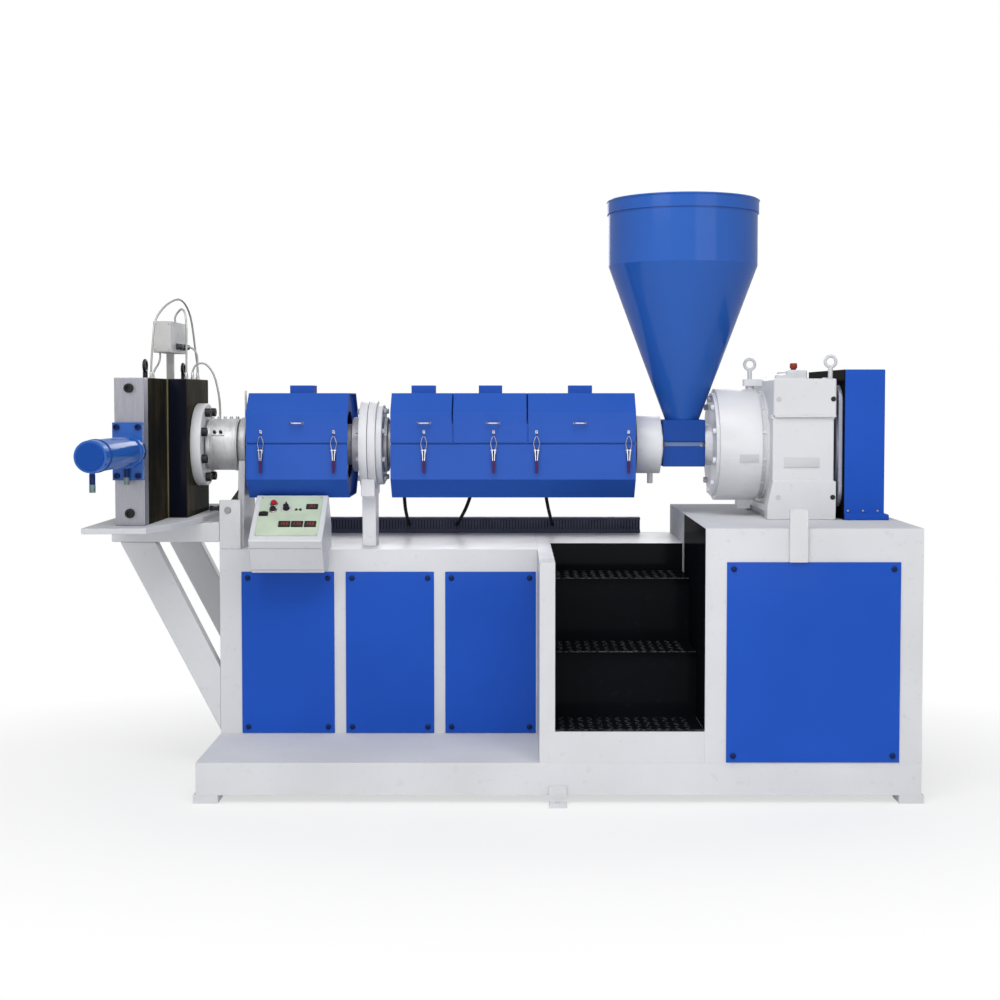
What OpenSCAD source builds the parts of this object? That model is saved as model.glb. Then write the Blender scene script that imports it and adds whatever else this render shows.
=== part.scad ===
// Plastic pelletizing extruder on a base with cabinets, a stair, a hopper and a screen changer.
// Modules are drawn from the base's left front corner on the floor: X along the machine
// towards the drive end, Y to the back, Z up. place() moves them to the part's own origin.

/* [Base and cabinets] */
// Length of the base platform
base_l = 2556; // [2520:1:2640]
// Depth of the base platform
base_d = 1200; // [1200:1:1260]
// Height of the base platform
base_h = 115; // [100:1:130]
// Height of the feet under the base
foot_h = 30; // [24:1:40]
// Length of the motor cabinet
motor_l = 764; // [750:1:790]
// Top of the motor cabinet above the floor
motor_top = 972; // [960:1:984]
// Top of the panel cabinet above the floor
bench_top = 852; // [840:1:864]
// Setback of the panel cabinet behind the base's front
bench_y = 467; // [455:1:475]
// Thickness of the bolted sheet panels
panel_t = 4; // [3:0.5:6]

/* [Stair] */
// Clear width of the stair
stair_w = 526; // [500:1:530]
// Depth of one tread
stair_run = 233; // [225:1:238]
// Rise from one tread to the next
stair_rise = 241; // [230:1:245]
// Thickness of a chequer plate tread
tread_t = 6; // [4:1:8]

/* [Extruder] */
// Height of the barrel axis
axis_z = 1246; // [1240:1:1260]
// Distance of the barrel axis behind the base's front
axis_y = 640; // [635:1:645]
// Radius of the barrel
barrel_r = 80; // [70:1:84]
// Radius over the heater bands
band_r = 100; // [96:1:104]
// Half width and half height of the barrel covers
cover_half = 200; // [190:1:204]
// Chamfer of the barrel covers
cover_cut = 73; // [60:1:80]
// Sheet thickness of the barrel covers
cover_t = 5; // [4:1:6]
// Gap between each lid and its tray or its neighbour
lid_gap = 6; // [5.5:0.5:8]
// Length of the short cover
cover_1_l = 384; // [370:1:395]
// Length of the long cover
cover_2_l = 929; // [915:1:940]
// Radius of the lid hinge pins
hinge_pin_r = 4; // [3:0.5:5]

/* [Hopper] */
// Radius of the hopper's straight wall
hopper_r = 289; // [280:1:295]
// Top of the hopper rim
hopper_top = 2188; // [2150:1:2230]
// Share of the hopper's height that its straight wall takes
hopper_wall_share = 0.296; // [0.27:0.002:0.31]
// Height of the stiffening band round the rim
hopper_band_h = 50; // [40:1:60]
// Sheet thickness of the hopper
hopper_t = 4; // [3:0.5:6]
// Radius of the hopper's outlet
hopper_neck_r = 66; // [60:1:70]

/* [Screen changer] */
// Height of the screen changer
changer_h = 526; // [510:1:540]
// Width of the slide housing along the machine
changer_w = 106; // [100:1:112]
// Thickness of an end plate
end_plate_t = 58; // [50:1:62]
// Radius of the hydraulic cylinder
cylinder_r = 53; // [48:1:56]
// Reach of the hydraulic cylinder in front of the base
cylinder_out = 420; // [400:1:440]
// Reach of the shelf beyond the base's left end
shelf_out = 411; // [405:1:420]

/* [Drive] */
// Length of the gearbox body along the machine
gear_l = 237; // [225:1:245]
// Half depth of the gearbox
gear_half_d = 275; // [265:1:285]
// Height of the gearbox
gear_h = 528; // [515:1:540]
// Width of the belt guard
guard_w = 153; // [145:1:158]
// Depth of the belt guard
guard_d = 680; // [660:1:700]
// Height of the belt guard
guard_h = 562; // [545:1:580]

/* [Hidden] */

$fn = 64;

// Origin at the middle of the footprint, on the floor
foot_out = 10;
cleat_out = 60;
origin_x = (shelf_out - base_l - foot_out) / 2;
origin_y = (cylinder_out - base_d - cleat_out) / 2;
base_top = foot_h + base_h;

// Stations along the machine
motor_x = base_l - motor_l;
stair_x = motor_x - stair_w;
jamb_w = 55;
jamb_x = stair_x - jamb_w;
inlet_x = -113;
inlet_flange_t = 40;
adapter_x = inlet_x + inlet_flange_t;
adapter_l = 134;
barrel_ring_t = 26;
barrel_x = adapter_x + adapter_l + barrel_ring_t;
cover_1_x = barrel_x + 21;
flange_gap = 36;
flange_x = cover_1_x + cover_1_l + flange_gap;
flange_t = 32;
cover_2_x = flange_x + 2 * flange_t + 62;
collar_x = cover_2_x + cover_2_l + 12;
collar_l = 94;
throat_x = collar_x + collar_l + 8;
throat_l = 164;
throat_end = throat_x + throat_l;
bell_x = throat_end + 28;
bell_flange_t = 12;
bell_l = 159;
bell_neck_l = 28;
gear_x = bell_x + bell_flange_t + bell_l + bell_neck_l;
guard_gap = 27;
guard_x = gear_x + gear_l + guard_gap;
hopper_in = 81;
hopper_x = throat_x + hopper_in;

// Joints between the lids as fractions of the long cover
lid_cuts = [0.256, 0.561];
lid_x = [cover_1_x, cover_2_x, cover_2_x + lid_cuts[0] * cover_2_l, cover_2_x + lid_cuts[1] * cover_2_l];
lid_l = [cover_1_l, lid_x[2] - lid_x[1] - lid_gap, lid_x[3] - lid_x[2] - lid_gap,
    cover_2_x + cover_2_l - lid_x[3]];

// Heights
split_z = axis_z + 9;
shelf_top = bench_top + 122;
shelf_t = 21;
housing_x = inlet_x - 74 - changer_w;

function chamfered(half, cut) = [
    [-half, -half + cut], [-half + cut, -half], [half - cut, -half], [half, -half + cut],
    [half, half - cut], [half - cut, half], [-half + cut, half], [-half, half - cut]];

module place() translate([origin_x, origin_y, 0]) children();

// Block between two corners
module slab(low, high) translate(low) cube(high - low);

// Round bar along X about the barrel axis
module bar_x(x, l, r) translate([x, axis_y, axis_z]) rotate([0, 90, 0]) cylinder(r = r, h = l);

// Outline in Y and Z drawn out along X
module along_x(x, l) translate([x, 0, 0]) rotate([90, 0, 90]) linear_extrude(l) children();

// Outline in X and Z drawn out along Y
module along_y(y, l) translate([0, y + l, 0]) rotate([90, 0, 0]) linear_extrude(l) children();

// Tube swept along a list of points, closed at both ends; it never runs along the direction across
module swept_tube(route, r, across, sides = 8) {
    last = len(route) - 1;
    function heading(i) =
        let (step = route[min(i + 1, last)] - route[max(i - 1, 0)]) step / norm(step);
    function right(h) = let (s = across - (across * h) * h) s / norm(s);
    points = [for (i = [0:last]) let (h = heading(i), s = right(h), up = cross(h, s))
        for (k = [0:sides - 1]) route[i] + r * (cos(360 * k / sides) * s + sin(360 * k / sides) * up)];
    walls = [for (i = [0:last - 1]) for (k = [0:sides - 1])
        let (n = (k + 1) % sides, low = i * sides, high = low + sides)
        for (face = [[low + k, high + k, high + n], [low + k, high + n, low + n]]) face];
    start = [for (k = [0:sides - 1]) k];
    finish = [for (k = [sides - 1:-1:0]) last * sides + k];
    polyhedron(points, concat(walls, [start], [finish]));
}

// Base platform of folded sheet on a welded frame
module base_frame() color("whitesmoke") place() slab([0, 0, foot_h], [base_l, base_d, base_top]);

foot_l = 88;
foot_w = 90;
cleat_w = 62;
anchor_r = 9;
cleat_x = stair_x - 22;
module cleat(y_out) {
    difference() {
        slab([cleat_x, min(0, y_out), 0], [cleat_x + cleat_w, max(0, y_out), 14]);
        translate([cleat_x + cleat_w / 2, y_out / 2, -1]) cylinder(r = anchor_r, h = 20);
    }
    slab([cleat_x, min(0, sign(y_out) * 12), 14], [cleat_x + cleat_w, max(0, sign(y_out) * 12), foot_h + 34]);
}

// Feet under the corners, and drilled anchor cleats at the middle
module floor_feet() color("gainsboro") place() {
    for (x = [-foot_out, base_l - foot_l + foot_out]) for (y = [0, base_d - foot_w])
        slab([x, y, 0], [x + foot_l, y + foot_w, foot_h]);
    cleat(-cleat_out);
    translate([0, base_d, 0]) cleat(cleat_out);
}

stair_back = 3 * stair_run + 1;
// Panel cabinet under the barrel
module panel_cabinet() color("whitesmoke") place()
    slab([0, bench_y, base_top], [jamb_x, base_d, bench_top]);

// Plain cabinet that runs on behind the stair
module stair_cabinet() color("whitesmoke") place()
    slab([jamb_x, stair_back, base_top], [motor_x, base_d, bench_top]);

panel_low = base_top + 2;
panel_high = bench_top - 86;
panel_in = 83;
panel_run = jamb_x - panel_in - 6;
// Edges of the three panels as fractions of the panelled length
panel_cuts = [[0, 0.315], [0.354, 0.654], [0.692, 1]];
panel_spans = [for (cut = panel_cuts) [panel_in + cut[0] * panel_run, panel_in + cut[1] * panel_run]];
motor_panel_x = [motor_x + 75, base_l - 80];
motor_panel_high = motor_top - 118;
// Blue bolted panels on the front of both cabinets
module front_panels() color("royalblue") place() {
    for (span = panel_spans)
        slab([span[0], bench_y - panel_t, panel_low], [span[1], bench_y, panel_high]);
    slab([motor_panel_x[0], -panel_t, panel_low], [motor_panel_x[1], 0, motor_panel_high]);
}

// Blue bolted panels on the back of both cabinets
module rear_panels() color("royalblue") place() {
    for (span = panel_spans)
        slab([span[0], base_d, panel_low], [span[1], base_d + panel_t, panel_high]);
    slab([motor_panel_x[0], base_d, panel_low], [motor_panel_x[1], base_d + panel_t, motor_panel_high]);
}

// Motor cabinet under the gearbox
module motor_cabinet() color("whitesmoke") place()
    slab([motor_x, 0, base_top], [base_l, base_d, motor_top]);

stair_low = base_top + 117;
lining_t = 3;
// White sill under the stair
module stair_sill() color("whitesmoke") place()
    slab([jamb_x, 0, base_top], [motor_x, stair_back, stair_low - tread_t]);

// White jamb at the left of the stair
module stair_jamb() color("whitesmoke") place()
    slab([jamb_x, 0, stair_low - tread_t], [stair_x, stair_back, bench_top]);

// Black risers, the last one a sheet up to the bench
module stair_risers() color("black") place() {
    along_x(stair_x + lining_t, stair_w - 2 * lining_t) polygon([
        [stair_run, stair_low], [stair_back, stair_low],
        [stair_back, stair_low + 2 * stair_rise - tread_t],
        [2 * stair_run, stair_low + 2 * stair_rise - tread_t],
        [2 * stair_run, stair_low + stair_rise - tread_t],
        [stair_run, stair_low + stair_rise - tread_t]]);
    slab([stair_x + lining_t, stair_back - lining_t, stair_low + 2 * stair_rise],
        [motor_x - lining_t, stair_back, bench_top]);
}

// Black side sheets of the stair
module stair_side_sheets() color("black") place() {
    slab([stair_x, 0, stair_low], [stair_x + lining_t, stair_back, bench_top]);
    slab([motor_x - lining_t, 0, stair_low], [motor_x, stair_back - 64, motor_top - 1]);
}

// Chequer plate treads
module stair_treads() color("black") place()
    for (i = [0:2])
        slab([stair_x + lining_t + 1, i * stair_run - (i > 0 ? 20 : 0), stair_low + i * stair_rise - tread_t],
            [motor_x - lining_t - 1, (i + 1) * stair_run - (i < 2 ? 0 : 2), stair_low + i * stair_rise]);

duct_h = 66;
duct_d = 40;
duct_x = [118, stair_x + 0.75 * stair_w];
// Slotted cable duct along the back of the cabinet top
module cable_duct() color("dimgray") place()
    slab([duct_x[0], base_d - duct_d - 2, bench_top], [duct_x[1], base_d - 2, bench_top + duct_h]);

// Shelf under the screen changer
plate_x = 22 - shelf_out;
module shelf_plate() color("whitesmoke") place()
    translate([0, 0, shelf_top - shelf_t]) linear_extrude(shelf_t) polygon([
        [plate_x, -15], [plate_x + 227, -15], [-110, 152], [-66, bench_y], [-66, base_d], [plate_x, base_d]]);

beam_h = 74;
beam_d = 60;
rear_beam_y = base_d - beam_d;
beam_top = shelf_top - shelf_t;
// Beams that carry the shelf
module shelf_beams() color("whitesmoke") place()
    for (y = [bench_y, rear_beam_y])
        slab([-shelf_out, y, beam_top - beam_h], [0, y + beam_d, beam_top]);

brace_low = 155;
brace_w = 135;
brace_foot_h = 241;
brace_x = 32 - shelf_out;
// Diagonal braces from the beams down to the cabinet's end
module shelf_braces() color("whitesmoke") place()
    for (y = [bench_y, rear_beam_y])
        along_y(y, beam_d) polygon([[brace_x, beam_top - beam_h], [brace_x + brace_w, beam_top - beam_h],
            [0, brace_low + brace_foot_h], [0, brace_low]]);

// Upright plate that ties the shelf beams to the cabinet top
module shelf_bracket() color("whitesmoke") place() {
    slab([0, bench_y, bench_top], [81, bench_y + 20, bench_top + 187]);
    slab([0, bench_y + 20, bench_top], [12, base_d - duct_d, bench_top + 100]);
}

support_x = barrel_x - barrel_ring_t;
barrel_ring_r = 105;
// Leaning plate that carries the front end of the barrel
module barrel_support() color("whitesmoke") place() difference() {
    along_x(support_x, barrel_ring_t) polygon([[axis_y - 150, bench_top], [axis_y + 150, bench_top],
        [axis_y + 95, axis_z - 60], [axis_y - 95, axis_z - 60]]);
    bar_x(support_x - 1, barrel_ring_t + 2, barrel_ring_r);
}

changer_top = shelf_top + changer_h;
changer_half_d = base_d - axis_y;
housing_front = axis_y - changer_half_d + end_plate_t;
housing_back = axis_y + changer_half_d - end_plate_t;
// Slide housing of the screen changer
module changer_housing() color("#1c1d22") place()
    slab([housing_x, housing_front, shelf_top], [housing_x + changer_w, housing_back, changer_top]);

inlet_half_d = 200;
// Heated block on the inlet side of the slide housing
module changer_inlet_block() color("#1c1d22") place()
    slab([housing_x + changer_w, axis_y - inlet_half_d, shelf_top],
        [inlet_x, axis_y + inlet_half_d, changer_top]);

// Ground steel plates that close both ends of the slide housing
module changer_end_plates() color("silver") place()
    for (y = [housing_front - end_plate_t, housing_back])
        slab([housing_x, y, shelf_top], [housing_x + changer_w, y + end_plate_t, changer_top]);

die_flange_t = 40;
die_flange_r = 100;
die_bore_r = 30;
die_bolt_pcd = 150;
die_bolt_r = 6.5;
// Outlet flange for a die, drilled on a bolt circle
module die_flange() color("silver") place() difference() {
    bar_x(housing_x - die_flange_t, die_flange_t, die_flange_r);
    bar_x(housing_x - die_flange_t - 1, die_flange_t + 2, die_bore_r);
    for (a = [0:60:300])
        translate([housing_x - die_flange_t - 1, axis_y, axis_z]) rotate([a, 0, 0])
            translate([0, die_bolt_pcd / 2, 0]) rotate([0, 90, 0])
                cylinder(r = die_bolt_r, h = die_flange_t + 2);
}

cylinder_x = housing_x + changer_w / 2;
cylinder_z = axis_z - 6;
cylinder_flange_t = 30;
cylinder_flange_h = 204;
cylinder_boss_l = 30;
cylinder_y = housing_front - end_plate_t;
nipple_r = 9;
// Round bar along Y, starting at y and running to the front
module bar_y(x, y, z, l, r) translate([x, y, z]) rotate([90, 0, 0]) cylinder(r = r, h = l);

// Hydraulic cylinder that pushes the screen slide, with its flange and oil nipples
module hydraulic_cylinder() color("royalblue") place() {
    slab([cylinder_x - changer_w / 2, cylinder_y - cylinder_flange_t, cylinder_z - cylinder_flange_h / 2],
        [cylinder_x + changer_w / 2, cylinder_y, cylinder_z + cylinder_flange_h / 2]);
    bar_y(cylinder_x, cylinder_y, cylinder_z, cylinder_flange_t + cylinder_boss_l, cylinder_r + 7);
    bar_y(cylinder_x, cylinder_y, cylinder_z, cylinder_y + cylinder_out, cylinder_r);
    for (y = [24 - cylinder_out, cylinder_y - cylinder_flange_t - cylinder_boss_l / 2])
        translate([cylinder_x, y, cylinder_z - cylinder_r - 64]) cylinder(r = nipple_r, h = 80);
}

// White bolted flange between the screen changer and the adapter
inlet_flange_r = 160;
module inlet_flange() color("whitesmoke") place() bar_x(inlet_x, inlet_flange_t, inlet_flange_r);

probe_r = 4;
probe_h = 105;
// Steel adapter with the end ring of the barrel and the temperature probe on it
module adapter() color("silver") place() {
    bar_x(adapter_x, adapter_l, barrel_r);
    bar_x(barrel_x - barrel_ring_t, barrel_ring_t, barrel_ring_r);
    translate([barrel_x - barrel_ring_t / 2, axis_y, axis_z])
        cylinder(r = probe_r, h = barrel_ring_r + probe_h);
}

// Steel barrel
module barrel() color("silver") place() bar_x(barrel_x, collar_x - barrel_x, barrel_r);

module band(x, l) difference() {
    bar_x(x, l, band_r);
    bar_x(x - 1, l + 2, barrel_r);
}

saddle_in = 26;
saddle_t = 20;
band_in = saddle_in + saddle_t + 6;
// Heater bands round the adapter and inside the covers
module heater_bands() color("lightgray") place() {
    band(adapter_x + 6, adapter_l - 14);
    band(cover_1_x + band_in, cover_1_l - 2 * band_in);
    for (i = [1:3])
        band(lid_x[i] + band_in, lid_l[i] - 2 * band_in);
}

tray_floor = axis_z - cover_half + cover_t;
// Saddles between the barrel and the trays
module cover_saddles() color("gray") place() difference() {
    for (span = [[cover_1_x, cover_1_l], [cover_2_x, cover_2_l]])
        for (x = [span[0] + saddle_in, span[0] + span[1] - saddle_in - saddle_t])
            slab([x, axis_y - 70, tray_floor], [x + saddle_t, axis_y + 70, axis_z - 20]);
    bar_x(cover_1_x, cover_2_x + cover_2_l - cover_1_x, barrel_r);
}

end_hole_r = 130;
end_in = 12;
module cover_section() difference() {
    polygon(chamfered(cover_half, cover_cut));
    polygon(chamfered(cover_half - cover_t, cover_cut - 0.586 * cover_t));
}
module cover_end_section() difference() {
    polygon(chamfered(cover_half - cover_t / 2, cover_cut));
    circle(r = end_hole_r);
}
module below_split() translate([-2 * cover_half, -2 * cover_half])
    square([4 * cover_half, 2 * cover_half + split_z - axis_z - lid_gap / 2]);
module above_split() translate([-2 * cover_half, split_z - axis_z + lid_gap / 2])
    square([4 * cover_half, 2 * cover_half]);
module about_axis(x, l) translate([0, axis_y, axis_z]) along_x(x, l) children();

hinge_y = axis_y + cover_half + 12;
knuckle_r = 9;
knuckle_l = 30;
knuckle_gap = 1;
hinge_fit = 0.3;
function hinge_stations(i) = [lid_x[i] + 45, lid_x[i] + lid_l[i] - 45];
module bar_at_hinge(x, l, r) translate([x, hinge_y, split_z]) rotate([0, 90, 0]) cylinder(r = r, h = l);

// Fixed half of a lid hinge: two knuckles, their leaf and the pin
module hinge_fixed(x) {
    for (k = [x - knuckle_l / 2 - knuckle_gap - 20, x + knuckle_l / 2 + knuckle_gap]) {
        bar_at_hinge(k, 20, knuckle_r);
        slab([k, axis_y + cover_half - 1, split_z - 40],
            [k + 20, axis_y + cover_half + 4, split_z - lid_gap / 2]);
        slab([k, axis_y + cover_half - 1, split_z - knuckle_r], [k + 20, hinge_y, split_z - lid_gap / 2]);
    }
    bar_at_hinge(x - knuckle_l / 2 - knuckle_gap - 20, knuckle_l + 2 * knuckle_gap + 40, hinge_pin_r);
}

// Moving half of a lid hinge: one knuckle and its leaf
module hinge_moving(x) difference() {
    union() {
        bar_at_hinge(x - knuckle_l / 2, knuckle_l, knuckle_r);
        slab([x - knuckle_l / 2, axis_y + cover_half - 1, split_z + lid_gap / 2],
            [x + knuckle_l / 2, axis_y + cover_half + 4, split_z + 40]);
        slab([x - knuckle_l / 2, axis_y + cover_half - 1, split_z + lid_gap / 2],
            [x + knuckle_l / 2, hinge_y, split_z + knuckle_r]);
    }
    bar_at_hinge(x - knuckle_l, 2 * knuckle_l, hinge_pin_r + hinge_fit);
}

module tray(x, l, lids) {
    about_axis(x, l) intersection() {
        cover_section();
        below_split();
    }
    for (e = [x + end_in, x + l - end_in - cover_t])
        about_axis(e, cover_t) intersection() {
            cover_end_section();
            below_split();
        }
    for (i = lids)
        for (station = hinge_stations(i))
            hinge_fixed(station);
}

// Lower halves of the barrel covers
module cover_tray_1() color("royalblue") place() tray(cover_1_x, cover_1_l, [0]);
module cover_tray_2() color("royalblue") place() tray(cover_2_x, cover_2_l, [1, 2, 3]);

vent_l = 90;
vent_d = 110;
vent_h = 30;
// Upper half of a barrel cover with its vent box and hinge leaves
module lid(i) color("royalblue") place() {
    about_axis(lid_x[i], lid_l[i]) intersection() {
        cover_section();
        above_split();
    }
    first = i == 0 || i == 1;
    last = i == 0 || i == 3;
    for (e = concat(first ? [lid_x[i] + end_in] : [], last ? [lid_x[i] + lid_l[i] - end_in - cover_t] : []))
        about_axis(e, cover_t) intersection() {
            cover_end_section();
            above_split();
        }
    translate([lid_x[i] + lid_l[i] / 2 - vent_l / 2, axis_y - vent_d / 2, axis_z + cover_half - 1])
        cube([vent_l, vent_d, vent_h + 1]);
    for (station = hinge_stations(i))
        hinge_moving(station);
}
module lid_1() lid(0);
module lid_2() lid(1);
module lid_3() lid(2);
module lid_4() lid(3);

handle_w = 52;
handle_out = 24;
handle_bar = 8;
handle_z = axis_z + 82;
handle_shift = [0, 12, 12, -7];
cover_front = axis_y - cover_half;
keeper_w = 18;
latch_drop = 84;
latch_low = split_z - latch_drop;
latch_stations = [[56, lid_l[0] - 52], [lid_l[1] / 2 + 11], [lid_l[2] / 2 + 14],
    [32, lid_l[3] - 28]];

// Pull handle on a lid's front with the keepers of its latches
module lid_handle(i) color("gainsboro") place() {
    x = lid_x[i] + lid_l[i] / 2 + handle_shift[i] - handle_w / 2;
    for (leg = [x, x + handle_w - handle_bar])
        slab([leg, cover_front - handle_out, handle_z],
            [leg + handle_bar, cover_front, handle_z + handle_bar]);
    slab([x, cover_front - handle_out, handle_z],
        [x + handle_w, cover_front - handle_out + handle_bar, handle_z + handle_bar]);
    for (s = latch_stations[i])
        slab([lid_x[i] + s - keeper_w / 2, cover_front - 9, split_z + 37],
            [lid_x[i] + s + keeper_w / 2, cover_front, split_z + 56]);
}
module lid_1_handle() lid_handle(0);
module lid_2_handle() lid_handle(1);
module lid_3_handle() lid_handle(2);
module lid_4_handle() lid_handle(3);

// Toggle latches on the trays, their loops reaching up to the keepers
module latches() color("silver") place()
    for (i = [0:3])
        for (s = latch_stations[i])
            translate([lid_x[i] + s, cover_front, 0]) {
                slab([-11, -6, latch_low], [11, 0, split_z - lid_gap]);
                slab([-9, -14, split_z - 40], [9, -6, split_z - lid_gap - 6]);
                slab([-8, -14, split_z - 30], [8, -10, split_z + 30]);
                slab([-7, -15, latch_low - 28], [7, -6, split_z - 40]);
            }

flange_r = 170;
// Bolted flange pair in the middle of the barrel
module barrel_flanges() color("whitesmoke") place() difference() {
    union() {
        bar_x(flange_x, flange_t, flange_r);
        bar_x(flange_x + flange_t - 1, 4, flange_r - 24);
        bar_x(flange_x + flange_t + 2, flange_t - 2, flange_r);
    }
    bar_x(flange_x - 1, 2 * flange_t + 2, barrel_r);
}

post_w = 53;
post_half_d = 60;
clamp_half_d = 110;
clamp_low = axis_z - flange_r - 28;
// Post with a clamp block under the flange pair
module barrel_post() color("whitesmoke") place() {
    x = flange_x + flange_t - post_w / 2;
    difference() {
        slab([x, axis_y - clamp_half_d, clamp_low], [x + post_w, axis_y + clamp_half_d, axis_z - 110]);
        bar_x(x - 1, post_w + 2, flange_r);
    }
    slab([x, axis_y - post_half_d, bench_top], [x + post_w, axis_y + post_half_d, clamp_low]);
}

collar_r = 113;
// White cooling collar before the feed throat
module feed_collar() color("whitesmoke") place() {
    bar_x(collar_x, collar_l, collar_r);
    bar_x(collar_x + collar_l, throat_x - collar_x - collar_l, barrel_r);
    translate([collar_x + collar_l / 2 + 12, axis_y, axis_z - collar_r - 38])
        cylinder(r = nipple_r + 2, h = 60);
}

throat_half_d = 72;
throat_top = axis_z + 97;
throat_low = axis_z - 84;
spacer_low = axis_z - 6;
spacer_high = axis_z + 12;
feed_hole_half = 0.7 * (hopper_neck_r - hopper_t);
// Feed throat in two halves, the upper one with a square feed hole
module feed_throat() color("royalblue") place() {
    difference() {
        slab([throat_x, axis_y - throat_half_d, spacer_high],
            [throat_end, axis_y + throat_half_d, throat_top]);
        slab([hopper_x - feed_hole_half, axis_y - feed_hole_half, spacer_high - 1],
            [hopper_x + feed_hole_half, axis_y + feed_hole_half, throat_top + 1]);
    }
    slab([throat_x, axis_y - throat_half_d, throat_low], [throat_end, axis_y + throat_half_d, spacer_low]);
}

// Bright spacer between the halves of the feed throat
module throat_spacer() color("silver") place()
    slab([throat_x + 6, axis_y - throat_half_d + 6, spacer_low],
        [throat_end - 6, axis_y + throat_half_d - 6, spacer_high]);

cone_top = hopper_top - hopper_wall_share * (hopper_top - throat_top);
hopper_band_t = 5;
// Open hopper: cone, straight wall and rim band
module hopper() color("royalblue") place() translate([hopper_x, axis_y, 0]) rotate_extrude($fn = 96) polygon([
    [hopper_neck_r, throat_top], [hopper_r, cone_top],
    [hopper_r, hopper_top - hopper_band_h], [hopper_r + hopper_band_t, hopper_top - hopper_band_h],
    [hopper_r + hopper_band_t, hopper_top], [hopper_r - hopper_t, hopper_top],
    [hopper_r - hopper_t, cone_top],
    [hopper_neck_r - hopper_t, throat_top]]);

gear_top = motor_top + gear_h;
bell_flange_r = 200;
bell_r = 217;
bell_neck_r = 200;
bell_eye_x = gear_x - 46;
lug_half = 24;
lug_t = 26;
drain_x = bell_x + 104;
drain_w = 48;
drain_half_d = 40;
drain_drop = 30;
stub_r = 16;
// Bell housing of the gearbox with its flange, drain boss and the lug of a lifting eye
module gearbox_bell() color("whitesmoke") place() {
    bar_x(throat_end, bell_x - throat_end, barrel_r);
    bar_x(bell_x, bell_flange_t, bell_flange_r);
    bar_x(bell_x + bell_flange_t, bell_l, bell_r);
    bar_x(gear_x - bell_neck_l, bell_neck_l, bell_neck_r);
    slab([drain_x, axis_y - drain_half_d, axis_z - bell_r - drain_drop],
        [drain_x + drain_w, axis_y + drain_half_d, axis_z - bell_r + drain_half_d]);
    slab([bell_eye_x - lug_half, axis_y - lug_half, gear_top - lug_t], [gear_x, axis_y + lug_half, gear_top]);
    translate([bell_eye_x, axis_y, axis_z]) cylinder(r = stub_r, h = gear_top - lug_t - axis_z + 1);
}

gear_front = axis_y - gear_half_d;
gear_back = axis_y + gear_half_d;
cap_low = gear_top - 142;
body_in = 8;
corner_h = 145;
corner_d = 60;
foot_over = 20;
foot_gap = 26;
foot_t = 25;
// Gearbox casing with its foot plate and flared corner blocks
module gearbox_body() color("whitesmoke") place() {
    slab([gear_x, gear_front + body_in, motor_top],
        [gear_x + gear_l - body_in, gear_back - body_in, cap_low]);
    slab([gear_x - foot_over, gear_front, motor_top + foot_gap],
        [gear_x + gear_l, gear_back, motor_top + foot_gap + foot_t]);
    for (y = [gear_front, gear_back - corner_d])
        along_y(y, corner_d) polygon([[gear_x - foot_over, motor_top], [gear_x + gear_l, motor_top],
            [gear_x + gear_l, motor_top + corner_h], [gear_x, motor_top + corner_h],
            [gear_x - foot_over, motor_top + foot_gap + foot_t]]);
}

crown_h = 35;
crown_x = gear_x + 78;
crown_l = 81;
crown_half_d = 110;
step_l = 45;
step_h = 16;
// Upper half of the gearbox casing with its inspection cover
module gearbox_cap() color("whitesmoke") place() {
    slab([gear_x, gear_front, cap_low], [gear_x + gear_l, gear_back, gear_top]);
    slab([crown_x, axis_y - crown_half_d, gear_top],
        [crown_x + crown_l, axis_y + crown_half_d, gear_top + crown_h]);
    slab([crown_x - step_l, axis_y - crown_half_d, gear_top],
        [crown_x, axis_y + crown_half_d, gear_top + step_h]);
}

hub_r = 108;
drive_plate_t = 19;
drive_plate_half = [265, 230];
drive_plate_corner = 70;
// Round-cornered plate of the belt drive, on a hub at the gearbox
module drive_plate() color("silver") place() {
    bar_x(gear_x + gear_l - body_in, guard_gap + body_in - drive_plate_t, hub_r);
    hull() for (y = [-1, 1]) for (z = [-1, 1])
        translate([0, y * (drive_plate_half[0] - drive_plate_corner),
            z * (drive_plate_half[1] - drive_plate_corner)])
            bar_x(guard_x - drive_plate_t, drive_plate_t, drive_plate_corner);
}

guard_back_t = 3;
guard_lip = 15;
// Blue belt guard with a bolted lip at its foot
module belt_guard() color("royalblue") place() {
    slab([guard_x + guard_back_t, gear_front, motor_top],
        [guard_x + guard_w, gear_front + guard_d, motor_top + guard_h]);
    slab([guard_x + guard_back_t, gear_front - guard_lip, motor_top],
        [guard_x + guard_w + guard_lip, gear_front + guard_d + guard_lip, motor_top + 22]);
}

// Black back plate of the belt guard
module guard_back() color("black") place()
    slab([guard_x, gear_front, motor_top],
        [guard_x + guard_back_t, gear_front + guard_d, motor_top + guard_h]);

eye_ring_r = 20;
eye_bar_r = 6;
// Eyebolt with its ring facing the front, or turned about its shank
module eyebolt(x, y, z, shank, turn = 0) translate([x, y, z]) rotate([0, 0, turn]) {
    cylinder(r = 9, h = shank);
    translate([0, 0, shank + eye_ring_r]) rotate([90, 0, 0])
        rotate_extrude($fn = 48) translate([eye_ring_r, 0]) circle(r = eye_bar_r, $fn = 24);
}

cap_eye_in = [18, 35];
cap_eye_shank = 44;
bell_eye_shank = 38;
// Lifting eyes of the gearbox, one on its cap and one on the bell's lug
module gearbox_eyes() color("whitesmoke") place() {
    eyebolt(gear_x + gear_l - cap_eye_in[0], gear_front + cap_eye_in[1], gear_top, cap_eye_shank);
    eyebolt(bell_eye_x, axis_y, gear_top, bell_eye_shank);
}

changer_eye_out = 320;
changer_eye_shank = 26;
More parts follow.
